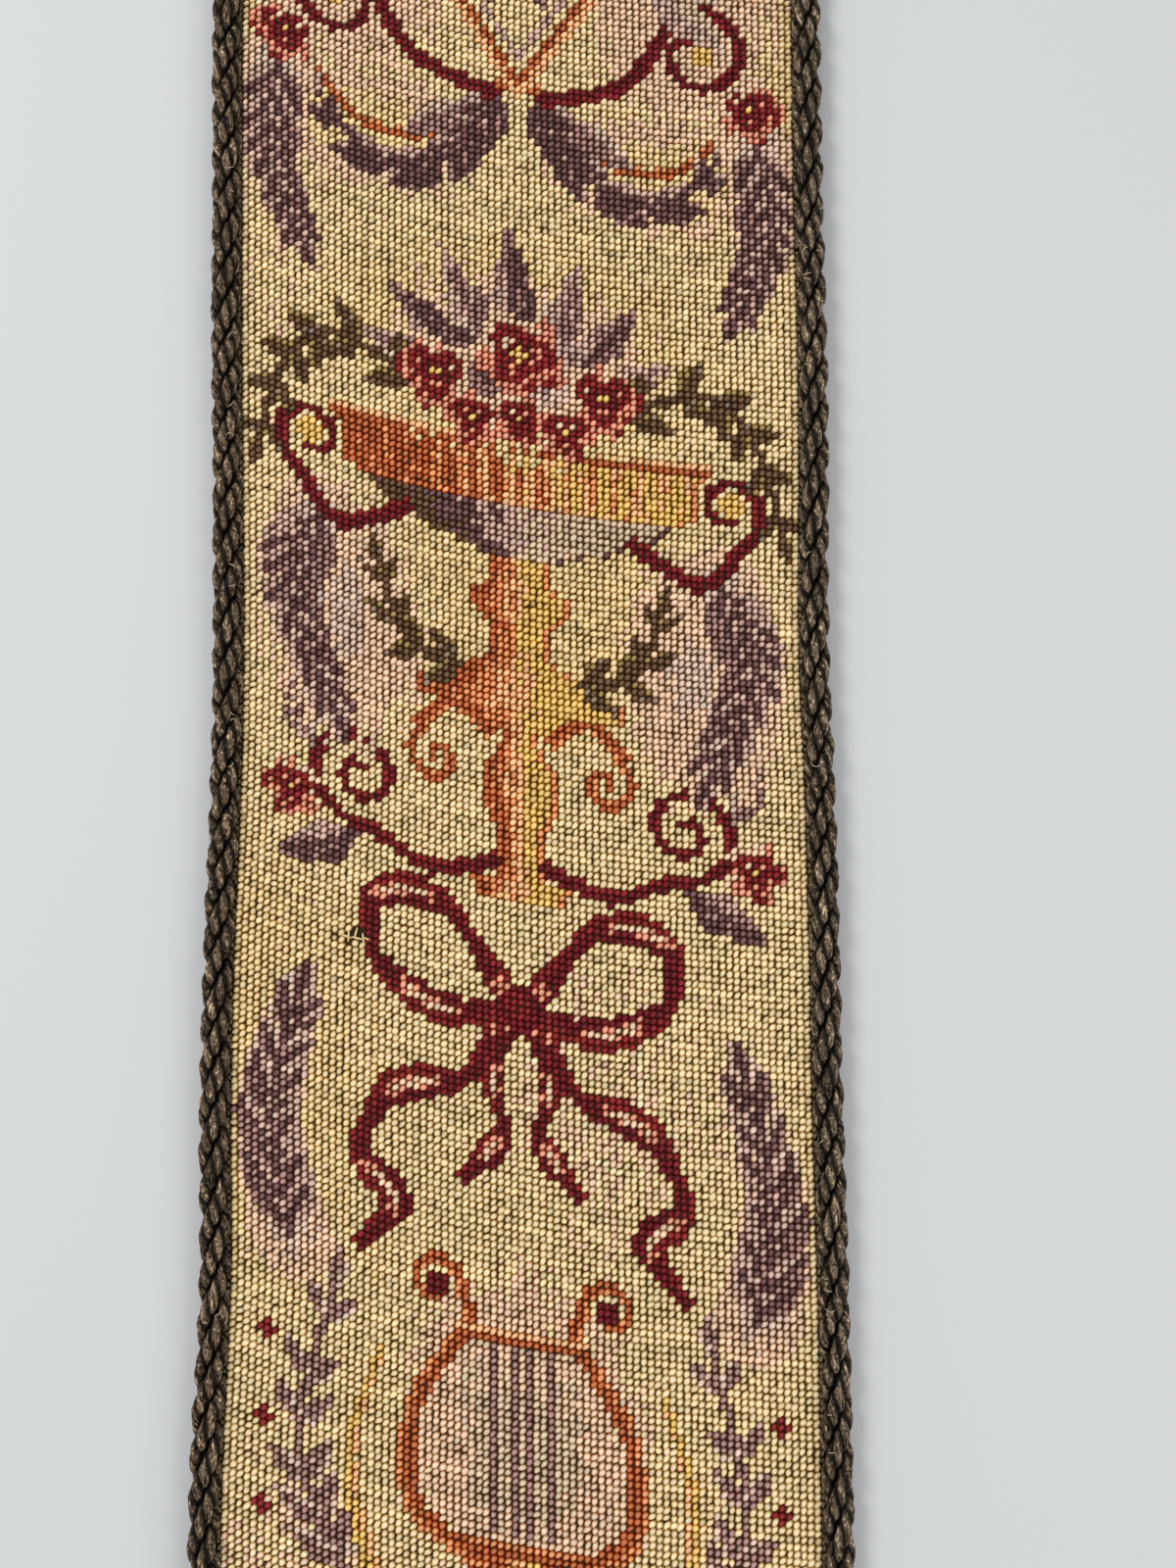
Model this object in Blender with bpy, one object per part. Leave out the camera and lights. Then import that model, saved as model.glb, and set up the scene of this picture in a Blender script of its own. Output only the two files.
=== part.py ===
"""A needlepoint bell pull lying flat: a long strip of worked canvas with a twisted cord along each side.

Metres, +Z up. The strip runs along Y and its underside lies on Z = 0, with the origin under its middle.
"""
import math

import bmesh
import bpy

MM = 0.001

# The whole strip
PANEL_LENGTH = 0.990
CORNER_ROUND = 0.0030
END_STEP = 0.0180

# The worked canvas: wool, canvas and the turned edge behind it
PANEL_THICKNESS = 0.0034
UNDER_ROUND = 0.0009
ACROSS_MIDDLE = 7

# The twisted cord sewn to each long side
CORD_DIAMETER = 0.0084
CORD_LAY = 0.0325
CORD_STRANDS = 3
CORD_STEPS_PER_TURN = 10
CORD_FROM_FOLD = 0.0040
CORD_PAST_HEM = 0.0015
CREVICE_DEPTH = 0.30
SHOULDER_TURN = math.radians(30.0)
TIP_LENGTH = 0.0070
TIP_STEPS = 4
TIP_SCALE = 0.45

# Where the long sides run, and how thick the strip lies there, in millimetres.
# y: place along the strip; left, right: how far each edge is from the centre line; swell: added thickness.
# The strip is pulled a little narrow just above its middle, and its sides waver all the way.
EDGE_STATIONS = [
    {"y": -495, "left": 76.0, "right": 76.4, "swell": 0.1},
    {"y": -440, "left": 76.8, "right": 75.9, "swell": 0.0},
    {"y": -380, "left": 75.8, "right": 76.6, "swell": 0.4},
    {"y": -320, "left": 76.7, "right": 76.8, "swell": 0.1},
    {"y": -260, "left": 76.6, "right": 75.8, "swell": 0.3},
    {"y": -192, "left": 77.7, "right": 76.5, "swell": 0.0},
    {"y": -133, "left": 75.9, "right": 76.7, "swell": 0.4},
    {"y": -93, "left": 76.6, "right": 76.3, "swell": 0.2},
    {"y": -52, "left": 76.3, "right": 76.4, "swell": 0.5},
    {"y": -10, "left": 75.1, "right": 76.2, "swell": 0.1},
    {"y": 32, "left": 74.9, "right": 75.3, "swell": 0.0},
    {"y": 75, "left": 75.7, "right": 76.4, "swell": 0.3},
    {"y": 120, "left": 76.7, "right": 76.7, "swell": 0.1},
    {"y": 165, "left": 77.2, "right": 76.6, "swell": 0.4},
    {"y": 211, "left": 77.7, "right": 76.9, "swell": 0.2},
    {"y": 270, "left": 76.6, "right": 76.1, "swell": 0.0},
    {"y": 330, "left": 75.7, "right": 76.5, "swell": 0.3},
    {"y": 390, "left": 76.4, "right": 77.7, "swell": 0.1},
    {"y": 450, "left": 76.9, "right": 76.2, "swell": 0.4},
    {"y": 495, "left": 76.3, "right": 75.8, "swell": 0.1},
]

# The turned edge in section, from the fold inwards, in millimetres.
# inset: distance in from the fold; height: share of the strip's thickness there.
EDGE_ROLL = [
    {"inset": 0.0, "height": 0.46},
    {"inset": 0.4, "height": 0.72},
    {"inset": 1.4, "height": 0.94},
    {"inset": 3.2, "height": 1.08},
    {"inset": 7.0, "height": 1.11},
    {"inset": 13.0, "height": 1.10},
    {"inset": 19.0, "height": 1.00},
]


def clear_scene():
    for item in list(bpy.data.objects):
        bpy.data.objects.remove(item, do_unlink=True)


def new_collection(name):
    group = bpy.data.collections.new(name)
    bpy.context.scene.collection.children.link(group)
    return group


def cloth_material(name, color, roughness):
    material = bpy.data.materials.new(name)
    material.use_nodes = True
    shader = material.node_tree.nodes["Principled BSDF"]
    shader.inputs["Base Color"].default_value = (*color, 1.0)
    shader.inputs["Roughness"].default_value = roughness
    shader.inputs["Metallic"].default_value = 0.0
    return material


def smooth_between(rows, key, value, column):
    """A column of a table at any place along it, on a smooth curve through its rows."""
    places = [row[key] for row in rows]
    values = [row[column] for row in rows]
    if value <= places[0]:
        return values[0]
    if value >= places[-1]:
        return values[-1]
    index = max(i for i, place in enumerate(places) if place <= value)
    span = places[index + 1] - places[index]
    t = (value - places[index]) / span

    def slope(i):
        low, high = max(i - 1, 0), min(i + 1, len(places) - 1)
        return (values[high] - values[low]) / (places[high] - places[low])

    rise = values[index + 1] - values[index]
    start, end = slope(index) * span, slope(index + 1) * span
    return values[index] + start * t + (3 * rise - 2 * start - end) * t**2 + (start + end - 2 * rise) * t**3


def edge_x(side, y):
    """X of the folded edge on one side: -1 is left and +1 is right."""
    column = "left" if side < 0 else "right"
    return side * smooth_between(EDGE_STATIONS, "y", y / MM, column) * MM


def roll_height(inset):
    """Share of the thickness that the turned edge reaches at a distance in from its fold."""
    return smooth_between(EDGE_ROLL, "inset", inset / MM, "height")


def panel_rows():
    """Places along the strip where it is measured: close together over the hems, then evenly spaced."""
    half = PANEL_LENGTH / 2
    hem = [half - row["inset"] * MM for row in EDGE_ROLL]
    inner = hem[-1]
    count = round(2 * inner / END_STEP)
    middle = [-inner + 2 * inner * i / count for i in range(1, count)]
    return [-y for y in hem] + middle + list(reversed(hem))


def corner_pull(y):
    """How far the long edges draw in where the strip's corners are rounded."""
    left_over = PANEL_LENGTH / 2 - abs(y)
    if left_over >= CORNER_ROUND:
        return 0.0
    return CORNER_ROUND - math.sqrt(CORNER_ROUND**2 - (CORNER_ROUND - left_over) ** 2)


def panel_section(y):
    """The closed outline of the strip at one place: up the left fold, across the top, and back below."""
    hem_inset = PANEL_LENGTH / 2 - abs(y)
    thickness = PANEL_THICKNESS + smooth_between(EDGE_STATIONS, "y", y / MM, "swell") * MM
    pull = corner_pull(y)
    left, right = edge_x(-1, y) + pull, edge_x(1, y) - pull
    hem = min(roll_height(hem_inset), 1.0)
    insets = [row["inset"] * MM for row in EDGE_ROLL]

    def top(inset):
        return thickness * roll_height(inset) * hem

    first, last = left + insets[-1], right - insets[-1]
    middle = [first + (last - first) * i / ACROSS_MIDDLE for i in range(1, ACROSS_MIDDLE)]
    points = [(left + inset, top(inset)) for inset in insets]
    points += [(x, top(insets[-1])) for x in middle]
    points += [(right - inset, top(inset)) for inset in reversed(insets)]
    under = UNDER_ROUND * (1.0 if hem_inset > UNDER_ROUND else 0.6)
    lowest = 0.0 if hem_inset > 0 else UNDER_ROUND * 0.5
    points += [(right - under, lowest), (0.0, lowest), (left + under, lowest)]
    return [(x, y, z) for x, z in points]


def loft(name, sections):
    """A closed solid through sections that have the same number of points."""
    work = bmesh.new()
    rings = [[work.verts.new(point) for point in section] for section in sections]
    for near, far in zip(rings, rings[1:]):
        for i in range(len(near)):
            j = (i + 1) % len(near)
            work.faces.new((near[i], near[j], far[j], far[i]))
    work.faces.new(rings[0])
    work.faces.new(list(reversed(rings[-1])))
    bmesh.ops.recalc_face_normals(work, faces=work.faces)
    mesh = bpy.data.meshes.new(name)
    work.to_mesh(mesh)
    work.free()
    return mesh


def build_panel(group):
    mesh = loft("needlepoint_panel", [panel_section(y) for y in panel_rows()])
    mesh.shade_smooth()
    mesh.set_sharp_from_angle(angle=math.radians(50))
    panel = bpy.data.objects.new("needlepoint_panel", mesh)
    panel.data.materials.append(cloth_material("worked_wool", (0.63, 0.47, 0.27), 0.92))
    group.objects.link(panel)


def cord_profile(guides):
    """The cord cut across: three full strands with a crevice between each pair."""
    radius = CORD_DIAMETER / 2
    points = []
    for strand in range(CORD_STRANDS):
        crest = math.tau * strand / CORD_STRANDS
        points.append((crest - SHOULDER_TURN, radius))
        points.append((crest + SHOULDER_TURN, radius))
        points.append((crest + math.pi / CORD_STRANDS, radius * (1 - CREVICE_DEPTH)))
    curve = bpy.data.curves.new("cord_profile", "CURVE")
    curve.dimensions = "2D"
    spline = curve.splines.new("POLY")
    spline.points.add(len(points) - 1)
    spline.use_cyclic_u = True
    for point, (turn, reach) in zip(spline.points, reversed(points)):
        point.co = (reach * math.cos(turn), reach * math.sin(turn), 0.0, 1.0)
    profile = bpy.data.objects.new("cord_profile", curve)
    profile.hide_render = True
    profile.display_type = "WIRE"
    guides.objects.link(profile)
    return profile


def cord_stations():
    """Places along the cord: even steps for its twist, and closer ones where its tips narrow."""
    half = PANEL_LENGTH / 2 + CORD_PAST_HEM
    straight = half - TIP_LENGTH
    step = CORD_LAY / CORD_STEPS_PER_TURN
    count = round(2 * straight / step)
    body = [(-straight + 2 * straight * i / count, 1.0) for i in range(count + 1)]
    tip = []
    for i in range(1, TIP_STEPS + 1):
        t = i / TIP_STEPS
        scale = TIP_SCALE + (1 - TIP_SCALE) * math.sqrt(1 - t**2)
        tip.append((straight + TIP_LENGTH * t, scale))
    return [(-y, scale) for y, scale in reversed(tip)] + body + tip


def build_cord(name, side, profile, group):
    """One run of cord: a path beside the folded edge that carries the profile and turns it."""
    radius = CORD_DIAMETER / 2
    curve = bpy.data.curves.new(name, "CURVE")
    curve.dimensions = "3D"
    curve.twist_mode = "Z_UP"
    curve.bevel_mode = "OBJECT"
    curve.bevel_object = profile
    curve.use_fill_caps = True
    stations = cord_stations()
    spline = curve.splines.new("POLY")
    spline.points.add(len(stations) - 1)
    for point, (y, scale) in zip(spline.points, stations):
        x = edge_x(side, y) + side * CORD_FROM_FOLD
        point.co = (x, y, radius, 1.0)
        point.radius = scale
        point.tilt = math.tau * y / CORD_LAY
    cord = bpy.data.objects.new(name, curve)
    cord.data.materials.append(cloth_material(name + "_yarn", (0.085, 0.055, 0.035), 0.7))
    group.objects.link(cord)


def main():
    clear_scene()
    parts = new_collection("needlepoint_bell_pull")
    guides = new_collection("guides")
    build_panel(parts)
    profile = cord_profile(guides)
    build_cord("left_cord", -1, profile, parts)
    build_cord("right_cord", 1, profile, parts)


main()
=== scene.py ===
# %% [markdown]
# # A needlepoint bell pull, stitch by stitch
# A bell pull is a long strip of canvas worked all over in wool, with its edges turned under and a twisted
# cord sewn down each side. This one lies face up on a plain floor.
# The solids come first, because every piece below takes its place and its size from them.

# %% Load the fixed frame
import math

import bpy
import numpy as np
from mathutils import Matrix, Vector
from mathutils.bvhtree import BVHTree


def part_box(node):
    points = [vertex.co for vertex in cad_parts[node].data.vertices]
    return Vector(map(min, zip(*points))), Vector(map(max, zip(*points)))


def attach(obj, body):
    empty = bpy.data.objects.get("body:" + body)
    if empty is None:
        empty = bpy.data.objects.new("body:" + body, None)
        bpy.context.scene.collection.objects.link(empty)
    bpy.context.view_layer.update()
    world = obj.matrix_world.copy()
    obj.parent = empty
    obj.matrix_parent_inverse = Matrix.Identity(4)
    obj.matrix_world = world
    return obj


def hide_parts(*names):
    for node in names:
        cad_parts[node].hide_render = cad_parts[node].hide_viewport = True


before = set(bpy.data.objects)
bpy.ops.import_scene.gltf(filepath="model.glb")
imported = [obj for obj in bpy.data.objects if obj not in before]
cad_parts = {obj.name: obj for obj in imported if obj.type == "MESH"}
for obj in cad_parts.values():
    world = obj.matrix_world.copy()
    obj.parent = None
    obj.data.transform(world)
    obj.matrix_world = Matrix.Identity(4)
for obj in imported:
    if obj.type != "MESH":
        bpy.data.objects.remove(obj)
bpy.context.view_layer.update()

# %% [markdown]
# The strip's folded edges waver, so its outline can't be written as one rectangle. Its solid's own points
# would give the outline too, but not at even steps. Rays cast at the solid find where each fold lies and how
# high the top is, and everything after this reads the two small tables that result, by interpolation.

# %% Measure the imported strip
MM = 0.001
RAY_START = 0.2
PLACES_ALONG = 241
PLACES_ACROSS = 15

# How high the cloth turns under, and how far in from the fold the top is measured
FOLD_LEVEL = 1.6 * MM
EDGE_CLEAR = 4.0 * MM

# How far the wool stands out past the solid's fold, and a little more at the right
WOOL_SWELL = 0.9 * MM
RIGHT_SWELL = 0.4 * MM

strip_low, strip_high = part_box("needlepoint_panel")
HALF_LENGTH = (strip_high.y - strip_low.y) / 2
STRIP_MIDDLE = (strip_high.y + strip_low.y) / 2
strip_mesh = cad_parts["needlepoint_panel"].data
strip_tree = BVHTree.FromPolygons([vertex.co for vertex in strip_mesh.vertices],
                                  [tuple(face.vertices) for face in strip_mesh.polygons])
inner_half = HALF_LENGTH - EDGE_CLEAR
ALONG = np.linspace(-inner_half, inner_half, PLACES_ALONG)


def fold_reach(side, y):
    """How far the folded edge is from the centre line on one side."""
    start = Vector((side * RAY_START, y, FOLD_LEVEL))
    hit = strip_tree.ray_cast(start, Vector((-side, 0, 0)))[0]
    return abs(hit.x)


def top_height(x, y):
    hit = strip_tree.ray_cast(Vector((x, y, RAY_START)), Vector((0, 0, -1)))[0]
    return hit.z


LEFT_REACH = np.array([fold_reach(-1, y) for y in ALONG]) + WOOL_SWELL
RIGHT_REACH = np.array([fold_reach(1, y) for y in ALONG]) + WOOL_SWELL + RIGHT_SWELL
ACROSS = np.linspace(-1, 1, PLACES_ACROSS)
TOPS = np.array([[top_height(u * (r - EDGE_CLEAR), y) for u in ACROSS]
                 for y, r in zip(ALONG, np.minimum(LEFT_REACH, RIGHT_REACH))])
print("fold to fold, mm", (LEFT_REACH + RIGHT_REACH).min() / MM, (LEFT_REACH + RIGHT_REACH).max() / MM)
print("top, mm", TOPS.min() / MM, TOPS.max() / MM)

# %% [markdown]
# Wool is worked on a canvas of about fourteen holes to the inch, so a stitch is 1.81 mm square. The worked
# canvas has been pulled out of square over the years: its columns run with the strip, but its rows fall to
# the right, steeply at the left edge and gently at the right. A skewed grid would fall evenly, so a short
# table of slopes is added up along the row instead.

# %% The canvas and its slanting rows
CANVAS_PITCH = 25.4 / 14 * MM
COLUMNS = 85

# How steeply the rows fall to the right, at places across the strip in millimetres
ROW_SLOPES = [
    {"x": -80, "slope": 0.35},
    {"x": -62, "slope": 0.33},
    {"x": -35, "slope": 0.28},
    {"x": 0, "slope": 0.18},
    {"x": 34, "slope": 0.12},
    {"x": 80, "slope": 0.10},
]
FINE_STEPS = 400
SLOPE_X = np.array([row["x"] * MM for row in ROW_SLOPES])
SLOPE_VALUE = np.array([row["slope"] for row in ROW_SLOPES])
FINE_X = np.linspace(SLOPE_X[0], SLOPE_X[-1], FINE_STEPS)
fallen = np.cumsum(np.interp(FINE_X, SLOPE_X, SLOPE_VALUE)) * (FINE_X[1] - FINE_X[0])
FINE_FALL = fallen - np.interp(0.0, FINE_X, fallen)


def row_slope(x):
    return np.interp(x, SLOPE_X, SLOPE_VALUE)


def row_fall(x):
    """How far a row has fallen at X, counted from the centre line."""
    return np.interp(x, FINE_X, FINE_FALL)


print("rows fall from side to side, mm", (row_fall(SLOPE_X[-1]) - row_fall(SLOPE_X[0])) / MM)

# %% [markdown]
# At its edges the worked cloth rolls over and under in a soft oval. A cloth point is found from its distance
# across and along the cloth, as if it were ironed flat, and one function rolls it over the folded edges. So
# the stitches run round the fold as they do on the real one, which a flat grid of stitches would not.

# %% Put points of the flat cloth on the strip
FOLD_COLUMNS = COLUMNS / 2 + 0.4

# The width and depth of the oval, and how far round it the cloth goes
ROLL_WIDE = 2.6 * MM
ROLL_DEEP = 2.1 * MM
ROLL_MEAN = (ROLL_WIDE + ROLL_DEEP) / 2
ROLL_END = math.radians(118)


def reach_at(side, y):
    return np.where(side < 0, np.interp(y, ALONG, LEFT_REACH), np.interp(y, ALONG, RIGHT_REACH))


def top_at(x, y):
    """Height of the strip's top, read between the measured places."""
    half = np.minimum(reach_at(-1, y), reach_at(1, y)) - EDGE_CLEAR
    u = (np.clip(x / half, -1, 1) + 1) / 2 * (PLACES_ACROSS - 1)
    v = (np.clip(y, -inner_half, inner_half) + inner_half) / (2 * inner_half) * (PLACES_ALONG - 1)
    i = np.minimum(u.astype(int), PLACES_ACROSS - 2)
    j = np.minimum(v.astype(int), PLACES_ALONG - 2)
    fu, fv = u - i, v - j
    low = TOPS[j, i] * (1 - fu) + TOPS[j, i + 1] * fu
    high = TOPS[j + 1, i] * (1 - fu) + TOPS[j + 1, i + 1] * fu
    return low * (1 - fv) + high * fv


def roll(cloth, reach):
    """Plan place, drop and tilt of a point at a distance along the cloth that folds at a reach."""
    size = np.abs(cloth)
    flat = reach - ROLL_WIDE
    turn = np.clip((size - flat) / ROLL_MEAN, 0, ROLL_END)
    plan = np.where(size <= flat, size, flat + ROLL_WIDE * np.sin(turn))
    return np.sign(cloth) * plan, ROLL_DEEP * (1 - np.cos(turn)), np.sign(cloth) * turn


def on_strip(column, along):
    """Place and tilt of cloth points: a column, counted from the centre, and a distance along the cloth."""
    y, drop_y, tilt_y = roll(along, HALF_LENGTH)
    side = np.where(column < 0, -1, 1)
    reach = reach_at(side, y)
    arc = reach - ROLL_WIDE + ROLL_MEAN * math.pi / 2
    x, drop_x, tilt_x = roll(column * arc / FOLD_COLUMNS, reach)
    z = top_at(x, y) - drop_x - drop_y
    return x, y + STRIP_MIDDLE, np.maximum(z, FOLD_LEVEL), tilt_x, tilt_y


corner = on_strip(np.array(FOLD_COLUMNS), np.array(HALF_LENGTH))
print("corner of the cloth, mm", [round(float(v) / MM, 2) for v in corner[:3]])

# %% [markdown]
# The picture is charted on the stitch grid, as a designer draws on squared paper: each square is one
# stitch and takes one wool. It is a candelabra ornament of the kind worked for two centuries, in worn wools:
# burgundy scrolls, rust and apricot turned pieces, mauve leaves and small roses on cream.
# Needlework is shaded by mixing two wools, stitch by stitch. A table of chances, made once, breaks up every
# border between two wools in that way, in short upright streaks.

# %% Squared paper and wools
SPARE_ROWS = 18
ROWS = round(2 * HALF_LENGTH / CANVAS_PITCH) + 2 * SPARE_ROWS

# Wools as 0 to 255 screen values
WOOLS = {
    "cream": (237, 218, 179), "ivory": (243, 229, 195), "straw": (234, 213, 169),
    "blush": (235, 208, 182), "stone": (219, 199, 174), "pink": (226, 164, 140),
    "red": (141, 50, 52), "burgundy": (118, 39, 46), "rust": (194, 117, 76),
    "orange": (226, 162, 115), "apricot": (242, 199, 155), "gold": (233, 202, 132),
    "aubergine": (120, 88, 88), "plum": (173, 141, 134), "mauve": (209, 182, 169),
    "taupe": (222, 200, 184), "slate": (152, 132, 114), "umber": (116, 90, 68), "olive": (160, 138, 92),
}
WOOL_NAMES = list(WOOLS)
X, Y = np.meshgrid(np.arange(COLUMNS) - (COLUMNS - 1) / 2, np.arange(ROWS) - float(SPARE_ROWS))
chart = np.zeros((ROWS, COLUMNS), dtype=int)

# The chances of the shading: single squares mixed with streaks of some rows, and how far they reach
CHART_SEED = 14
STREAK_ROWS = 9
SINGLE_SHARE = 0.45
STREAK_SHARE = 0.55
SHADING = 0.46
chances = np.random.default_rng(CHART_SEED)
singles = chances.random((ROWS, COLUMNS))
streaks = chances.random((ROWS // STREAK_ROWS + 2, COLUMNS))
streak_start = chances.integers(0, STREAK_ROWS, COLUMNS)
streak_row = (np.arange(ROWS)[:, None] + streak_start) // STREAK_ROWS
STREAK = SINGLE_SHARE * singles + STREAK_SHARE * streaks[streak_row, np.arange(COLUMNS)]


def paint(mask, wool):
    chart[mask] = WOOL_NAMES.index(wool)


def shade(mask, level, wools):
    """Fill squares from the first wool to the last by a level from 0 to 1, broken up as hand shading is."""
    step = np.clip((level + (STREAK - 0.5) * SHADING) * len(wools), 0, len(wools) - 1).astype(int)
    for index, wool in enumerate(wools):
        paint(mask & (step == index), wool)


print("chart", COLUMNS, "by", ROWS)

# %% [markdown]
# Stems are lines that swell and taper. They could be listed square by square, but a smooth path through a few
# points says the same and stays readable. The distance of each square from the path tells which stitches the
# line covers, and the hand that the square lies on tells which of two wools it takes.

# %% Stems along bent paths
TWO_TONE_FROM = 0.35
NO_LENGTH = 1e-6


def bend(points, steps=8):
    """A smooth path through a few points."""
    ends = [points[0]] + list(points) + [points[-1]]
    path = []
    for p, q, r, s in zip(ends, ends[1:], ends[2:], ends[3:]):
        p, q, r, s = map(np.array, (p, q, r, s))
        for t in np.arange(steps) / steps:
            path.append(0.5 * (2 * q + (r - p) * t + (2 * p - 5 * q + 4 * r - s) * t**2
                               + (3 * q - p - 3 * r + s) * t**3))
    return path + [np.array(points[-1], dtype=float)]


def heading(path, k):
    """Which way a path runs at one of its points, in degrees."""
    a, b = path[k], path[k + 1]
    return math.degrees(math.atan2(b[1] - a[1], b[0] - a[0]))


def nearest(path, side):
    """Distance from each square to a path, how far along it that is, and on which hand."""
    px, py = side * X, Y
    gap = np.full(X.shape, np.inf)
    along = np.zeros(X.shape)
    hand = np.zeros(X.shape)
    lengths = [float(np.hypot(*(b - a))) for a, b in zip(path, path[1:])]
    walked = 0.0
    for a, b, length in zip(path, path[1:], lengths):
        if length < NO_LENGTH:
            continue
        dx, dy = (b - a) / length
        t = np.clip((px - a[0]) * dx + (py - a[1]) * dy, 0, length)
        reach = np.hypot(px - a[0] - t * dx, py - a[1] - t * dy)
        closer = reach < gap
        gap = np.where(closer, reach, gap)
        along = np.where(closer, (walked + t) / sum(lengths), along)
        hand = np.where(closer, np.sign(dx * (py - a[1]) - dy * (px - a[0])), hand)
        walked += length
    return gap, along, hand


def stem(points, thick, thin, wools, side=1):
    """A tapered line with one hand in a second wool."""
    gap, along, hand = nearest(bend(points), side)
    mask = gap <= (thick + (thin - thick) * along) / 2
    paint(mask, wools[0])
    if len(wools) > 1:
        paint(mask & (hand > 0) & (gap > TWO_TONE_FROM), wools[1])


def pair(draw, *values, **options):
    """Draw a motif on both sides of the centre line."""
    for side in (-1, 1):
        draw(*values, side=side, **options)


print("a path through 3 points has", len(bend([(0, 0), (9, 4), (12, 15)])), "places")

# %% [markdown]
# A volute is a stem that winds in on itself, and a leaf is a patch between two arcs, with a dark hand, a lit
# hand and a rib. Each is one function of a place, a size and a few wools, because this kind of ornament
# repeats the same few forms at many sizes. Soft patches of pale wool lie behind them.

# %% Scrolls, leaves and soft patches
TURN_POINTS = 14
WOUND_IN = 0.86
SCROLL_TIP = 1.3
SCROLL_TONE_FROM = 0.3
KNOB = 1.7
LEAF_BELLY = 0.75
RIB_HALF = 0.5
RIB_END = 0.85
LEAST_NOTCHES = 2.0
NOTCH_LENGTH = 5
HALO_BREAK = 0.5

# The leaves of a sprig: how far each is turned, and its share of the size
SPRIG_LEAVES = ((0, 1.0), (44, 0.8), (-44, 0.8))
SPRIG_WIDE = 0.36


def scroll(lead, centre, radius, turns, start, spin, wools, side=1, thick=3.0, eye=None):
    """A stem that runs into a volute, with a small knob in its eye."""
    count = int(turns * TURN_POINTS)
    winding = []
    for t in np.arange(count + 1) / count:
        reach = radius * (1 - WOUND_IN * t)
        angle = math.radians(start) + spin * math.tau * turns * t
        winding.append(np.array((centre[0] + reach * math.cos(angle), centre[1] + reach * math.sin(angle))))
    path = bend(list(lead) + [tuple(winding[0])])[:-1] + winding
    gap, along, hand = nearest(path, side)
    mask = gap <= (thick - (thick - SCROLL_TIP) * along) / 2
    paint(mask, wools[0])
    paint(mask & (hand * spin > 0) & (gap > SCROLL_TONE_FROM), wools[1])
    if eye:
        paint(np.hypot(side * X - winding[-1][0], Y - winding[-1][1]) <= KNOB, eye)


def leaf(x, y, angle, length, width, wools, side=1, notch=0.0, curl=0.0):
    """One leaf: a dark hand, a lit hand and a rib in the last wool, with notches on a broad one."""
    a = math.radians(angle)
    dx, dy = side * X - x, Y - y
    u = (dx * math.cos(a) + dy * math.sin(a)) / length
    v = -dx * math.sin(a) + dy * math.cos(a) - curl * length * u * u
    swell = np.sin(np.pi * np.clip(u, 0, 1) ** LEAF_BELLY)
    edge = width / 2 * swell * (1 + notch * np.cos(u * math.tau * max(LEAST_NOTCHES, length / NOTCH_LENGTH)))
    mask = (u >= 0) & (u <= 1) & (np.abs(v) <= edge)
    shade(mask, 0.5 + v / width, wools[:-1])
    paint(mask & (np.abs(v) < RIB_HALF) & (u < RIB_END), wools[-1])


def sprig(x, y, angle, size, wools, side=1):
    """Three small leaves that fill a space."""
    for turn, reach in SPRIG_LEAVES:
        leaf(x, y, angle + turn, size * reach, size * SPRIG_WIDE, wools, side)


def halo(x, y, half, height, wools, side=1):
    """A patch of soft shading behind a motif, streaked and broken at its rim."""
    reach = np.hypot((side * X - x) / half, (Y - y) / height)
    shade(reach + (STREAK - 0.5) * HALO_BREAK < 1, reach, wools)


print("squares of paper", chart.size)

# %% [markdown]
# Vases, stems and plinths in such ornament look as if they were turned on a lathe and lit from the right. So
# each is a profile, a short table of heights and half widths, and its shade runs from dark at the left to
# pale at the right. Mouldings are straight courses, and a rose is a few rings with a wavy rim.

# %% Turned pieces and roses
HALF_STITCH = 0.5
GROOVE_SHARE = 0.2
GROOVE_DEEP = 0.4
GROOVES_REACH = 0.94

# The light on a turned piece: its mean and strength, how far aside it lies, where it ends and how it wraps
LIT_MEAN = 0.5
LIT_STRENGTH = 0.55
LIT_ASIDE = 0.25
LIT_END = 1.2
LIT_WRAP = 1.25

# The parts of a rose, as shares of its radius
PETALS = 5
PETAL_REACH = 0.90
PETAL_WAVE = 0.14
WHORL_REACH = 0.46
WHORL_WAVE = 0.12
WHORL_HALF = 0.13
HEART_REACH = 0.30
EYE_REACH = 0.17
LEAST_EYE = 0.9


def turned(y, rows, wools, flutes=0):
    """A turned piece from rows of height and half width, dark at the left and fading to the right."""
    heights = [y + height for height, half in rows]
    half = np.interp(Y, heights, [half for height, half in rows])
    inside = (Y >= heights[0]) & (Y <= heights[-1]) & (np.abs(X) <= half)
    across = X / np.maximum(half, HALF_STITCH)
    level = LIT_MEAN + LIT_STRENGTH * np.sin(np.clip(across + LIT_ASIDE, -LIT_END, LIT_END) * LIT_WRAP)
    shade(inside, level, wools)
    rim = inside & (np.abs(X) > half - 1.0)
    paint(rim & (X > 0), wools[1])
    paint(rim & (X < 0), wools[0])
    if flutes:
        off_middle = np.abs(np.mod(across * flutes / 2 + 0.5, 1.0) - 0.5)
        groove = (off_middle < GROOVE_SHARE) & (np.abs(across) < GROOVES_REACH)
        shade(inside & groove, np.clip(level - GROOVE_DEEP, 0, 1), wools)


def band(y, half, wools):
    """A moulding: one straight course of stitches for each wool."""
    for i, wool in enumerate(wools):
        paint((np.abs(Y - y - i) < HALF_STITCH) & (np.abs(X) <= half), wool)


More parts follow.
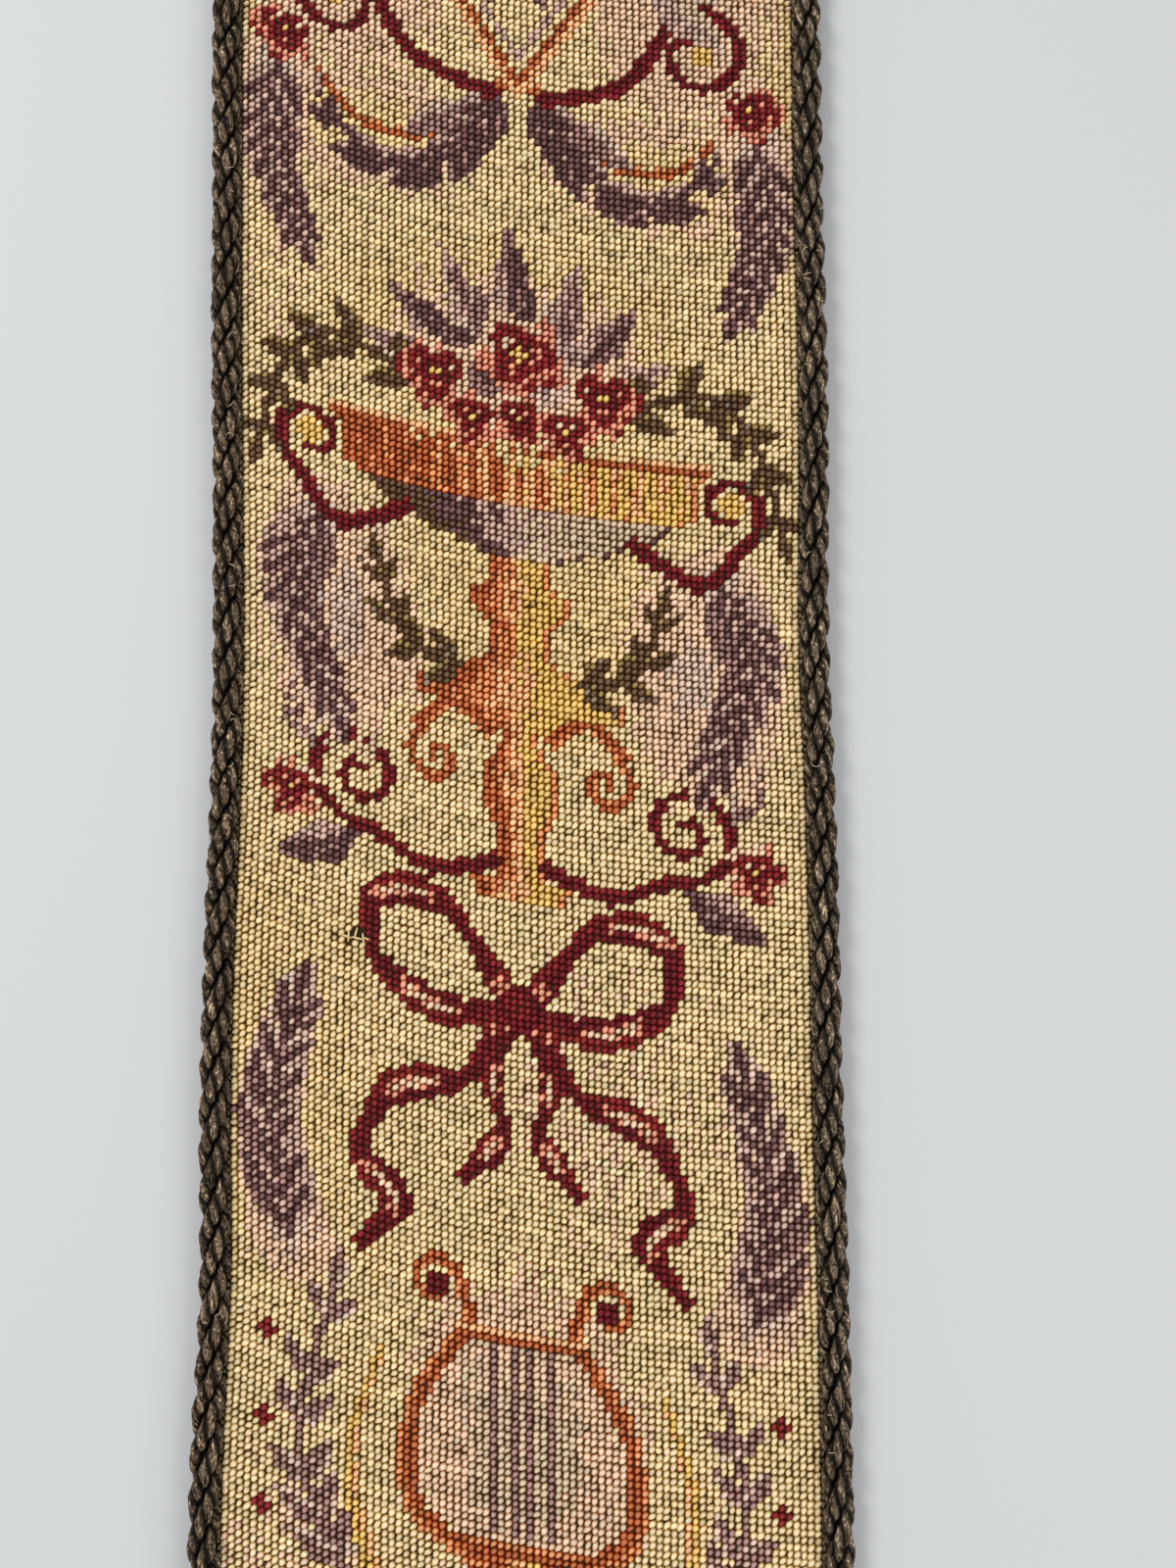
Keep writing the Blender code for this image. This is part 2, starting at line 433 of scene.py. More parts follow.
def rose(x, y, radius, side=1, turn=0.0):
    """A small rose: pink petals, a red whorl and a gold eye."""
    dx, dy = side * X - x, Y - y
    reach, angle = np.hypot(dx, dy), np.arctan2(dy, dx) + turn
    rim = radius * (PETAL_REACH + PETAL_WAVE * np.cos(PETALS * angle))
    shade(reach <= rim, 0.60 + 0.32 * (dy - dx) / radius, ("red", "pink", "pink", "blush"))
    whorl = radius * (WHORL_REACH + WHORL_WAVE * np.sin(3 * angle))
    paint(np.abs(reach - whorl) < radius * WHORL_HALF, "red")
    paint(reach <= radius * HEART_REACH, "burgundy")
    paint(reach <= max(LEAST_EYE, radius * EYE_REACH), "gold")


print("wools", len(WOOLS))

# %% [markdown]
# The ground is cream, with faint drifts of blush and straw where the wool came from another dyeing. A few
# slow waves across the strip say where, and the table of chances breaks them up.

# %% The ground
DRIFT_GRAIN = 1.6
BLUSH_FROM = 2.35
IVORY_FROM = 2.75
STRAW_UNDER = 0.0


def ground():
    """Cream, with soft drifts of blush and straw."""
    drift = np.sin(X / 15 + 1.3) * np.sin(Y / 29)
    drift = drift + 0.6 * np.sin(X / 23 - Y / 37) + 0.4 * np.sin(Y / 17 + X / 31)
    drift = drift + STREAK * DRIFT_GRAIN
    paint(np.ones(X.shape, bool), "cream")
    paint(drift > BLUSH_FROM, "blush")
    paint(drift < STRAW_UNDER, "straw")
    paint(drift > IVORY_FROM, "ivory")


def worked_squares():
    return int((chart != 0).sum())


ground()
print("squares not in cream", worked_squares())

# %% [markdown]
# The ornament starts at the foot with a plinth and sprigs, two great volutes with roses, and a fan of leaves.
# Each motif is a function of its height, drawn from back to front, so that what comes later covers the rest.

# %% The foot of the strip
PLUM = ("aubergine", "plum", "mauve", "aubergine")
MAUVE = ("plum", "mauve", "taupe", "plum")
FADED = ("mauve", "taupe", "stone", "mauve")
OLIVE = ("umber", "slate", "olive", "umber")
GILT = ("rust", "orange", "apricot", "gold")
SHADOW = ("umber", "aubergine", "mauve", "stone")
WINE = ("burgundy", "red")
RUSSET = ("rust", "orange")
MIST = ("taupe", "blush", "blush")


def plinth(y):
    """A panelled plinth on a step, with a sprig at either side."""
    turned(y, [(0, 25), (3, 25), (3.1, 21), (6, 20), (7, 15), (9, 14), (22, 14), (24, 17), (26, 20),
               (29, 20)], GILT)
    turned(y + 9, [(0, 10), (13, 10)], SHADOW, flutes=7)
    band(y + 29, 20, ("umber", "apricot"))
    pair(sprig, 24, y + 10, 60, 11, PLUM)
    pair(sprig, 33, y + 4, 100, 9, MAUVE)


def acanthus(y):
    """Two great volutes with roses in them and notched leaves on their backs."""
    pair(halo, 22, y + 22, 17, 24, MIST)
    pair(scroll, [(2, y), (6, y + 14), (18, y + 30)], (22, y + 20), 14, 1.45, 70, -1, WINE, thick=3.4)
    pair(leaf, 8, y + 14, 78, 24, 9, MAUVE, notch=0.16, curl=-0.25)
    pair(leaf, 15, y + 32, 100, 18, 8, PLUM, notch=0.16, curl=0.2)
    pair(leaf, 28, y + 34, 48, 14, 7, MAUVE, notch=0.14, curl=-0.2)
    pair(leaf, 34, y + 20, -62, 20, 7, FADED, notch=0.14, curl=0.15)
    pair(leaf, 12, y + 4, 8, 18, 6, OLIVE, notch=0.1)
    pair(rose, 22, y + 20, 6.2)


def palm(y, size):
    """A fan of narrow leaves in wine and mauve, tied at its foot."""
    halo(0, y + 12 * size, 17 * size, 17 * size, MIST)
    for step, angle in enumerate((150, 30, 132, 48, 116, 64, 103, 77, 90)):
        reach = (15 + 1.6 * step) * size
        wools = MAUVE if step % 4 < 2 else ("burgundy", "red", "pink", "burgundy")
        leaf(0, y, angle, reach, 5.2 * size, wools)
    band(y - 1, 5, ("apricot", "rust", "orange"))


plinth(12)
acanthus(46)
palm(88, 1.05)
print("squares not in cream, with the foot", worked_squares())

# %% [markdown]
# Plumes are long ribs with close-set leaves, and laurel has short pairs on a stalk, so one function sets
# pairs of leaves that shorten along a path. A silk ribbon is a path too, wide where it lies flat and thin
# where it turns over, with its light on the wide parts.

# %% Sprays, plumes and ribbons
PLUME = ("plum", "mauve", "taupe", "aubergine")
FIRST_PAIR = 0.12
LAST_PAIR = 0.92
SHRINK = 0.42
LEAF_CURL = 0.08
TIP_LEAF = 0.7

# The pale patch behind a plume: its width as a share of a leaf, how it narrows, and where its tone starts
PATCH_WIDE = 0.62
PATCH_NARROWS = 0.45
PATCH_TONE = 0.2

# A ribbon swells where it turns its face to the light, and takes these wools near its middle there
RIBBON_WAVES = 16
RIBBON_THIN = 0.36
RIBBON_SWELL = 0.36
RIBBON_LIGHTS = [
    {"faces": 0.6, "within": 0.9, "wool": "pink"},
    {"faces": 0.8, "within": 0.5, "wool": "blush"},
]


def spray(points, pairs, length, width, wools, side=1, lean=52):
    """A stalk with pairs of leaves that shorten towards its tip, and one leaf at the end."""
    path = bend(points)
    stem(points, 1.6, 1.2, (wools[-1],), side)
    for t in np.linspace(FIRST_PAIR, LAST_PAIR, pairs):
        k = min(int(t * (len(path) - 1)), len(path) - 2)
        size = 1 - SHRINK * t
        for turn in (lean, -lean):
            leaf(*path[k], heading(path, k) + turn, length * size, width * size, wools, side,
                 curl=-math.copysign(LEAF_CURL, turn))
    leaf(*path[-1], heading(path, len(path) - 2), length * TIP_LEAF, width * TIP_LEAF, wools, side)


def feather(points, pairs, length, width, wools, side=1):
    """A broad plume: a soft patch of the lightest wool under close-set leaves along one rib."""
    gap, along, _ = nearest(bend(points), side)
    patch = gap < length * PATCH_WIDE * (1 - PATCH_NARROWS * along)
    shade(patch, PATCH_TONE + gap / length, (wools[-2], "blush"))
    spray(points, pairs, length, width, wools[:-2] + wools[-1:], side, lean=38)


def ribbon(points, width, side=1):
    """A silk ribbon that narrows and catches the light where it turns over."""
    gap, along, hand = nearest(bend(points), side)
    turn = 0.5 + 0.5 * np.cos(along * RIBBON_WAVES)
    mask = gap <= width * (RIBBON_THIN + RIBBON_SWELL * turn)
    paint(mask, "burgundy")
    paint(mask & (hand > 0) & (gap > HALF_STITCH), "red")
    for light in RIBBON_LIGHTS:
        paint(mask & (turn > light["faces"]) & (gap < light["within"]), light["wool"])


def berries(x, y, side=1):
    paint(np.hypot(side * X - x, Y - y) <= 1.2, "red")


print("pairs of leaves stand from", FIRST_PAIR, "to", LAST_PAIR, "of a stalk")

# %% [markdown]
# Above the fan stand a slim turned stem between tendrils, a gilt lyre between laurel branches, a ribbon bow
# between plumes, and the same stem again. A motif that comes twice is one function called at two heights.

# %% Turned stems, lyre and bow


def baluster(y):
    """A slim turned stem between curling tendrils."""
    turned(y, [(0, 6), (2, 7), (3, 3), (8, 3), (13, 5.2), (18, 5.8), (22, 3), (24, 2.6), (25, 7), (27, 7)],
           GILT)
    pair(scroll, [(4, y + 5), (13, y + 2), (21, y + 5)], (24, y + 13), 7.4, 1.5, -70, 1, WINE, thick=2.2)
    pair(scroll, [(5, y + 24), (10, y + 27), (15, y + 23)], (12.5, y + 18.5), 4.2, 1.2, 60, -1, RUSSET,
         thick=2.0)
    pair(leaf, 24, y + 4, -28, 14, 6, PLUM, notch=0.1)
    pair(leaf, 31, y + 15, 68, 12, 5.5, MAUVE, notch=0.1)
    pair(rose, 34, y + 8, 4.6)


def lyre(y):
    """A gilt lyre between two laurel branches."""
    halo(0, y + 27, 17, 22, ("stone", "blush"))
    turned(y, [(0, 9), (2, 9), (3, 5), (7, 4), (9, 7), (11, 8)], GILT)
    pair(scroll, [(4, y + 10), (15, y + 16), (15, y + 30), (8, y + 42)], (12.5, y + 47), 4.4, 1.1, 195, -1,
         RUSSET, thick=3.2, eye="burgundy")
    for string in (-4, -1.4, 1.4, 4):
        paint((np.abs(X - string) < 0.6) & (Y > y + 14) & (Y < y + 41), "plum")
    band(y + 41, 9, ("rust", "apricot"))
    band(y + 12, 7, ("rust", "orange"))
    pair(spray, [(6, y - 4), (22, y + 2), (31, y + 20), (27, y + 42)], 9, 10, 4.2, MAUVE, lean=44)
    pair(stem, [(21, y + 6), (24, y + 20), (20, y + 36)], 2.6, 1.2, ("gold", "apricot"))
    for berry in (10, 22, 34):
        pair(berries, 36, y + berry)


def bow(y):
    """A ribbon bow with two loops and long curling tails, between plumes."""
    pair(feather, [(33, y - 40), (36, y - 24), (32, y - 6)], 9, 10, 4.4, PLUME)
    pair(ribbon, [(1, y), (11, y + 13), (21, y + 12), (21, y + 3), (11, y - 2), (1, y)], 3.4)
    pair(ribbon, [(2, y - 1), (8, y - 11), (18, y - 15), (23, y - 25), (18, y - 31), (23, y - 38)], 3.4)
    pair(ribbon, [(1, y - 1), (4, y - 10), (3, y - 18), (8, y - 25)], 2.8)
    paint(np.hypot(X, Y - y) <= 3.6, "burgundy")
    paint(np.hypot(X + 0.6, Y - y - 0.6) <= 2.0, "red")


baluster(116)
lyre(148)
bow(236)
baluster(252)
print("squares not in cream, with stems, lyre and bow", worked_squares())

# %% [markdown]
# The middle of the strip holds its chief piece: a shallow gadrooned bowl on a turned foot, heaped with roses
# and leaves. Gadroons are bulging ribs, so dark grooves run between them over the lit shape. The heap starts
# with a fan of leaves, and the roses lie in front of it.

# %% The bowl of roses


def tazza(y):
    """A shallow gadrooned bowl on a turned foot, with scrolled handles and hanging plumes."""
    pair(halo, 27, y + 8, 12, 18, MIST)
    pair(feather, [(30, y + 22), (34, y + 10), (28, y - 6)], 8, 10, 4.6, PLUME)
    turned(y, [(0, 15), (2, 15), (3, 11), (5, 9), (7, 5), (12, 4), (15, 7), (17, 7), (19, 4.5), (23, 5)],
           GILT)
    turned(y + 23, [(0, 6), (2, 13), (5, 20), (8, 24)], SHADOW)
    turned(y + 31, [(0, 24), (1, 26), (7, 27), (8, 27)], GILT, flutes=15)
    band(y + 39, 28, ("rust", "apricot"))
    pair(scroll, [(17, y + 27), (27, y + 22), (33, y + 28)], (31, y + 34), 5.2, 1.2, -30, 1, WINE,
         thick=2.6, eye="gold")
    pair(spray, [(9, y + 5), (17, y + 7), (21, y + 17)], 4, 7, 3.2, OLIVE, lean=50)


def heap(y):
    """Roses and leaves piled on the bowl, with a spray that trails over each side."""
    halo(0, y + 14, 27, 16, ("stone", "blush", "straw"))
    for angle, reach in ((90, 27), (68, 24), (112, 24), (46, 23), (134, 23), (26, 22), (154, 22)):
        leaf(0, y + 2, angle, reach + 5, 8, PLUM if reach % 2 else MAUVE, notch=0.12, curl=0.05)
    pair(spray, [(14, y + 5), (27, y + 10), (35, y + 3), (39, y - 10)], 6, 8, 3.4, OLIVE, lean=50)
    rose(0, y + 13, 7.4, turn=0.4)
    pair(rose, 12.5, y + 8, 6.2)
    pair(rose, 7, y + 2, 4.6)
    rose(0, y + 3, 4.4)


tazza(280)
heap(321)
print("squares not in cream, with the bowl", worked_squares())

# %% [markdown]
# Above the bowl hang a garland of bell husks and a lozenge with a rosette. Husks are pairs of short leaves
# that shrink along a path, and a lozenge is all the squares within one distance of its centre, counted
# across and up together.

# %% Garland and lozenge
HUSK_START = 0.2
HUSK_SHRINK = 0.45
HUSK_LEAN = 24
HUSK_WIDE = 0.55


def husks(points, count, size, wools, side=1):
    """A garland of bell husks that shrink towards its end."""
    path = bend(points)
    for i in range(count):
        k = int((i + HUSK_START) / count * (len(path) - 2))
        reach = size * (1 - HUSK_SHRINK * i / count)
        for lean in (-HUSK_LEAN, HUSK_LEAN):
            leaf(*path[k], heading(path, k) + lean, reach, reach * HUSK_WIDE, wools, side)


def garland(y):
    """Husks in a swag from the middle to each side, where a rose holds them and a plume hangs down."""
    pair(halo, 22, y - 4, 16, 9, ("straw", "straw", "blush"))
    pair(stem, [(2, y + 8), (12, y - 2), (24, y - 3), (34, y + 8)], 2.0, 1.4, RUSSET)
    pair(husks, [(3, y + 5), (12, y - 7), (24, y - 8), (35, y + 5)], 9, 8.5, PLUM)
    pair(feather, [(36, y + 2), (37, y - 12), (33, y - 24)], 7, 9, 4.2, PLUME)
    pair(rose, 35, y + 8, 5.6)


def medallion(y):
    """A lozenge with a rosette in it, held between burgundy scrolls and broad leaves."""
    pair(halo, 25, y, 14, 26, MIST)
    reach = np.abs(X) / 17 + np.abs(Y - y) / 25
    paint(reach < 1, "apricot")
    paint(reach < 0.90, "rust")
    paint(reach < 0.82, "cream")
    paint((reach < 0.74) & (reach > 0.66), "mauve")
    for angle in range(0, 360, 45):
        leaf(0, y, angle + 22.5, 10.5, 4.6, PLUM)
    rose(0, y, 5.4)
    for way in (-1, 1):
        pair(scroll, [(4, y + way * 24), (16, y + way * 20), (24, y + way * 8)], (27, y + way * 14), 8.0, 1.3,
             -100 * way, way, WINE, thick=2.6, eye="gold")
        pair(leaf, 20, y + 4 * way, 38 * way, 15, 6, FADED)
        pair(leaf, 8, y + 27 * way, 35 * way, 12, 5, MAUVE)
    pair(leaf, 19, y, 0, 18, 8, MAUVE, notch=0.15)


garland(369)
medallion(399)
print("squares not in cream, with garland and lozenge", worked_squares())

# %% [markdown]
# The head closes the ornament with curling vines on a straight stalk and a hung cloth. The cloth is three
# tiers, each with its scallops and folds from one wave across the strip.

# %% The head of the strip
GLOW = ("gold", "straw", "straw")

# The hung cloth: half the width of each tier, their step and height, and their scallops and hem
TIER_HALVES = (30, 22, 13)
TIER_STEP = 11
TIER_HIGH = 13
SCALLOPS = 2.5
SCALLOP_DEEP = 3.0
TIER_HEM = 1.6


def vine(y):
    """Curling stems with leaves and buds on either side of a straight stalk."""
    stem([(0, y), (0, y + 52)], 2.4, 1.8, ("plum", "mauve"))
    for low, wools in ((2, RUSSET), (26, WINE)):
        pair(halo, 20, y + low + 9, 11, 11, GLOW)
        pair(scroll, [(0, y + low), (7, y + low + 13), (17, y + low + 17)], (20, y + low + 9), 8.0, 1.35,
             95, -1, wools, thick=2.6, eye="pink")
        pair(leaf, 4, y + low + 8, 118, 11, 4.6, PLUM)
        pair(leaf, 12, y + low + 17, 72, 12, 5, MAUVE, notch=0.12)
        pair(leaf, 27, y + low + 13, 30, 12, 6, MAUVE, notch=0.12)
        pair(leaf, 27, y + low + 5, -40, 12, 5, FADED)


def canopy(y):
    """A hung cloth with scalloped edges under a knop."""
    for index, half in enumerate(TIER_HALVES):
        low = y + TIER_STEP * index
        edge = low + SCALLOP_DEEP * np.abs(np.sin(X / half * np.pi * SCALLOPS))
        mask = (np.abs(X) <= half) & (Y >= edge) & (Y <= low + TIER_HIGH)
        shade(mask, 0.5 + 0.5 * np.cos(X / half * np.pi * (2 * SCALLOPS)), GILT)
        paint(mask & (Y < edge + TIER_HEM), "burgundy")
    turned(y + 34, [(0, 14), (2, 14), (3, 6), (8, 3), (11, 6), (15, 6), (19, 2), (22, 1)], SHADOW)
    pair(husks, [(28, y + 2), (31, y - 12), (29, y - 27)], 6, 8, MAUVE)
    pair(leaf, 16, y + 30, 35, 20, 8, PLUM, notch=0.12, curl=-0.1)
    pair(leaf, 10, y + 40, 55, 20, 7, MAUVE, notch=0.12, curl=-0.1)


vine(431)
canopy(485)
print("squares not in cream, in all", worked_squares())

# %% [markdown]
# Every material is a small node tree. One helper adds a node, sets its properties and gives each input
# either a value or another node's socket to read, for shader trees and geometry trees alike. Short helpers
# for sums, spans and noise keep the recipes below close to how they would be said.

# %% Helpers for node trees


def node(tree, kind, inputs=None, **settings):
    """Add a node, set it up, and feed its inputs with values or sockets."""
    made = tree.nodes.new(kind)
    for key, value in settings.items():
        setattr(made, key, value)
    for key, value in (inputs or {}).items():
        if isinstance(value, bpy.types.NodeSocket):
            tree.links.new(value, made.inputs[key])
        else:
            made.inputs[key].default_value = value
    return made


def maths(tree, operation, first, second=0.0):
    return node(tree, "ShaderNodeMath", {0: first, 1: second}, operation=operation).outputs[0]


def plus(tree, first, second):
    return maths(tree, "ADD", first, second)


def minus(tree, first, second):
    return maths(tree, "SUBTRACT", first, second)


def times(tree, first, second):
    return maths(tree, "MULTIPLY", first, second)


def vectors(tree, operation, first, second):
    return node(tree, "ShaderNodeVectorMath", {0: first, 1: second}, operation=operation).outputs[0]


def scaled(tree, vector, amount):
    return node(tree, "ShaderNodeVectorMath", {0: vector, "Scale": amount}, operation="SCALE").outputs[0]


def spread(tree, value, start, end, least=0.0, most=1.0, kind="LINEAR"):
    """A value carried from one span to another and held inside it."""
    span = {"Value": value, "From Min": start, "From Max": end, "To Min": least, "To Max": most}
    return node(tree, "ShaderNodeMapRange", span, interpolation_type=kind).outputs[0]


def noise(tree, place, scale, detail, roughness=0.5):
    values = {"Vector": place, "Scale": scale, "Detail": detail, "Roughness": roughness}
    return node(tree, "ShaderNodeTexNoise", values).outputs[0]


def linear(screen):
    """A 0 to 255 screen colour as the linear values that a shader works in."""
    c = np.asarray(screen) / 255
    return np.where(c <= 0.04045, c / 12.92, ((c + 0.055) / 1.055) ** 2.4)


print("cream as a shader sees it", linear(WOOLS["cream"]).round(3))

# %% [markdown]
# Cloth has no shine of its own, so each material starts rough and nearly without gloss. Its colour and its
# fine relief come from what the tree works out.

# %% Helpers for materials and pieces
CLOTH_GLOSS = 0.06


def new_material(name, roughness, sheen):
    """A cloth material and its shader node."""
    material = bpy.data.materials.new(name)
    material.use_nodes = True
    shader = material.node_tree.nodes["Principled BSDF"]
    shader.inputs["Roughness"].default_value = roughness
    shader.inputs["Sheen Weight"].default_value = sheen
    shader.inputs["Sheen Roughness"].default_value = 0.5
    shader.inputs["Specular IOR Level"].default_value = CLOTH_GLOSS
    return material, material.node_tree, shader


def two_tones(tree, shader, amount, dark, light):
    """Colour a material from a dark to a light tone."""
    ramp = node(tree, "ShaderNodeValToRGB", {"Fac": amount})
    for element, tone in zip(ramp.color_ramp.elements, (dark, light)):
        element.color = (*tone, 1)
    tree.links.new(ramp.outputs[0], shader.inputs["Base Color"])


def relief(tree, shader, height, strength, distance):
    """Let a height show as fine relief."""
    bump = node(tree, "ShaderNodeBump", {"Height": height, "Strength": strength, "Distance": distance})
    tree.links.new(bump.outputs[0], shader.inputs["Normal"])


def mesh_of(name, points, edges=(), faces=()):
    mesh = bpy.data.meshes.new(name)
    mesh.from_pydata([tuple(point) for point in points], edges, faces)
    return mesh


def placed(name, data):
    """A new object in the scene, at the origin."""
    thing = bpy.data.objects.new(name, data)
    bpy.context.scene.collection.objects.link(thing)
    return thing


print("gloss of every cloth", CLOTH_GLOSS)

# %% [markdown]
# A geometry tree can set thousands of small things and still be one editable recipe. Each tree here has
# named inputs and ends in real faces. Its result is taken as a plain mesh, so the finished piece lies at the
# origin and keeps no modifier. Two more helpers read a mesh's values and write the map for baking.

# %% Helpers for geometry trees


def stored(tree, name, kind):
    """The value that the geometry carries under a name."""
    return node(tree, "GeometryNodeInputNamedAttribute", {"Name": name}, data_type=kind).outputs[0]


def keep(tree, geometry, name, value, kind):
    """Store a value on the geometry under a name."""
    return node(tree, "GeometryNodeStoreNamedAttribute",
                {"Geometry": geometry, "Name": name, "Value": value}, data_type=kind).outputs[0]


def new_tree(name, sockets):
    """An empty geometry tree with named inputs and one mesh output."""
    tree = bpy.data.node_groups.new(name, "GeometryNodeTree")
    tree.interface.new_socket("Host", in_out="INPUT", socket_type="NodeSocketGeometry")
    for label, kind in sockets.items():
        tree.interface.new_socket(label, in_out="INPUT", socket_type="NodeSocket" + kind)
    tree.interface.new_socket("Mesh", in_out="OUTPUT", socket_type="NodeSocketGeometry")
    return tree, tree.nodes.new("NodeGroupInput").outputs


def close_tree(tree, geometry, material):
    """End a geometry tree in real faces with their material."""
    real = node(tree, "GeometryNodeRealizeInstances", {"Geometry": geometry})
    clad = node(tree, "GeometryNodeSetMaterial", {"Geometry": real.outputs[0], "Material": material})
    node(tree, "NodeGroupOutput", {"Mesh": clad.outputs[0]})


def grow(name, host_mesh, tree, values):
    """The plain mesh that a geometry tree makes from a host mesh, as a new object at the origin."""
    host = placed(name + "_host", host_mesh)
    modifier = host.modifiers.new("grow", "NODES")
    modifier.node_group = tree
    for item in tree.interface.items_tree:
        if item.name in values:
            modifier[item.identifier] = values[item.name]
    evaluated = host.evaluated_get(bpy.context.evaluated_depsgraph_get())
    mesh = bpy.data.meshes.new_from_object(evaluated)
    mesh.name = name
    bpy.data.objects.remove(host)
    return placed(name, mesh)


def read_all(items, key, kind, wide=1):
    """One value or one row of every item, as an array."""
    values = np.empty(len(items) * wide, dtype=kind)
    items.foreach_get(key, values)
    return values


def bake_layer(piece, places):
    """The map by which a piece's finish is baked into a picture."""
    layer = piece.data.uv_layers.new(name="OFBake")
    layer.data.foreach_set("uv", places.astype(np.float32).ravel())


# %% [markdown]
# One tent stitch is a short slanting float of soft wool that fills its hole at both ends. Eight triangles
# are enough for it: a foot of six points that fits against the feet of its neighbours, and a ridge of two.
# A geometry tree sets one on every square of the chart, turned and scaled by values stored on the points.
# The alternative is a bump map on a flat sheet, but real floats give the dark holes between stitches, which
# painted shade in the wool deepens.

# %% The wool and one stitch
STITCH_HIGH = 0.72 * MM
FOOT_END = 0.74 * CANVAS_PITCH
FOOT_END_WIDE = 0.22 * CANVAS_PITCH
FOOT_WIDE = 0.52 * CANVAS_PITCH
RIDGE_HALF = 0.36 * CANVAS_PITCH

# The stitch's own coordinates grow to one at its rim, where the painted shade of the gaps is darkest
RIM_SCALE = (1.98, 1.86, 0)
RIM_SHADE_SPAN = (0.32, 1.03)

# Fine fibre and the lines of the twist, and what each adds to the tone
FIBRE_SCALE = 2600.0
FIBRE_TONE = 0.5
TWIST_SLANT = 0.4
TWIST_LINES = 26.0
TWIST_TONE = 0.07
TWIST_HIGH = 0.5
BASE_TONE = 0.83
WOOL_RELIEF = 0.12 * MM

# Painted shade in the gaps between stitches: pale wools darken and warm more there than dark ones do
PALE_SPAN = (0.05, 0.35)
GAP_SHADE = 0.65
PALE_SHADE = 0.24
GAP_SHADE_WARMTH = 0.9
PALE_SHADE_WARMTH = 1.9


def wool_material():
    """Soft matt wool: its colour is stored on each stitch, with painted shade that darkens and warms it
    between stitches, and faint twist lines.
    """
    material, tree, shader = new_material("tent_stitch_wool", roughness=0.9, sheen=0.0)
    wool = node(tree, "ShaderNodeAttribute", attribute_name="wool").outputs["Color"]
    thread = node(tree, "ShaderNodeUVMap", uv_map="thread").outputs[0]
    middle = vectors(tree, "SUBTRACT", thread, (0.5, 0.5, 0))
    oval = vectors(tree, "MULTIPLY", middle, RIM_SCALE)
    reach = node(tree, "ShaderNodeVectorMath", {0: oval}, operation="LENGTH").outputs["Value"]
    # Painted shade: each stitch darkens towards its rim, where its neighbours would shade it
    rim_shade = spread(tree, reach, *RIM_SHADE_SPAN, kind="SMOOTHSTEP")
    place = node(tree, "ShaderNodeTexCoord").outputs["Object"]
    fibre = noise(tree, place, FIBRE_SCALE, detail=2.0)
    split = node(tree, "ShaderNodeSeparateXYZ", {0: thread})
    twist = plus(tree, times(tree, split.outputs[0], TWIST_SLANT), split.outputs[1])
    strands = maths(tree, "SINE", times(tree, twist, TWIST_LINES))
    tone = plus(tree, times(tree, strands, TWIST_TONE), times(tree, fibre, FIBRE_TONE))
    tone = plus(tree, tone, BASE_TONE)
    grey = node(tree, "ShaderNodeRGBToBW", {0: wool}).outputs[0]
    pale = spread(tree, grey, *PALE_SPAN)
    gap = plus(tree, times(tree, pale, PALE_SHADE), GAP_SHADE)
    tone = times(tree, tone, minus(tree, 1.0, times(tree, rim_shade, gap)))
    # The painted shade in the gaps is warmed too, standing for light bounced between the wools
    shade_warmth = plus(tree, times(tree, pale, PALE_SHADE_WARMTH), GAP_SHADE_WARMTH)
    shade_warmth = plus(tree, times(tree, rim_shade, shade_warmth), 1.0)
    warm = node(tree, "ShaderNodeGamma", {"Color": wool, "Gamma": shade_warmth}).outputs[0]
    tree.links.new(scaled(tree, warm, tone), shader.inputs["Base Color"])
    height = plus(tree, times(tree, strands, TWIST_HIGH), fibre)
    relief(tree, shader, height, strength=0.5, distance=WOOL_RELIEF)
    return material


def stitch_mesh():
    """One stitch along X: a foot of six points and a ridge of two, with its own thread coordinates."""
    points = [(FOOT_END, -FOOT_END_WIDE, 0), (FOOT_END, FOOT_END_WIDE, 0), (0, FOOT_WIDE, 0),
              (-FOOT_END, FOOT_END_WIDE, 0), (-FOOT_END, -FOOT_END_WIDE, 0), (0, -FOOT_WIDE, 0),
              (RIDGE_HALF, 0, STITCH_HIGH), (-RIDGE_HALF, 0, STITCH_HIGH)]
    faces = [(0, 1, 6), (1, 2, 6), (2, 7, 6), (2, 3, 7), (3, 4, 7), (4, 5, 7), (5, 6, 7), (5, 0, 6)]
    mesh = mesh_of("one_stitch", points, faces=faces)
    mesh.shade_smooth()
    thread = mesh.uv_layers.new(name="thread")
    for loop in mesh.loops:
        x, y, _ = points[loop.vertex_index]
        thread.data[loop.index].uv = (0.5 + x / FOOT_END / 2, 0.5 + y / FOOT_WIDE / 2)
    return mesh


WOOL = wool_material()
stitch = bpy.data.objects.new("one_stitch", stitch_mesh())
print("triangles in one stitch", len(stitch.data.polygons))

# %% [markdown]
# The tree that works the canvas reads three things from each point: how the stitch is turned, how large it
# is, and which wool it has. Turns are worked out from the cloth's own directions, so a stitch on the rolled
# edge leans over with the cloth. It could be done by snapping stitches to the surface, but the flat cloth
# already says where each of them belongs.

# %% A tree that sets stitches, and their turns


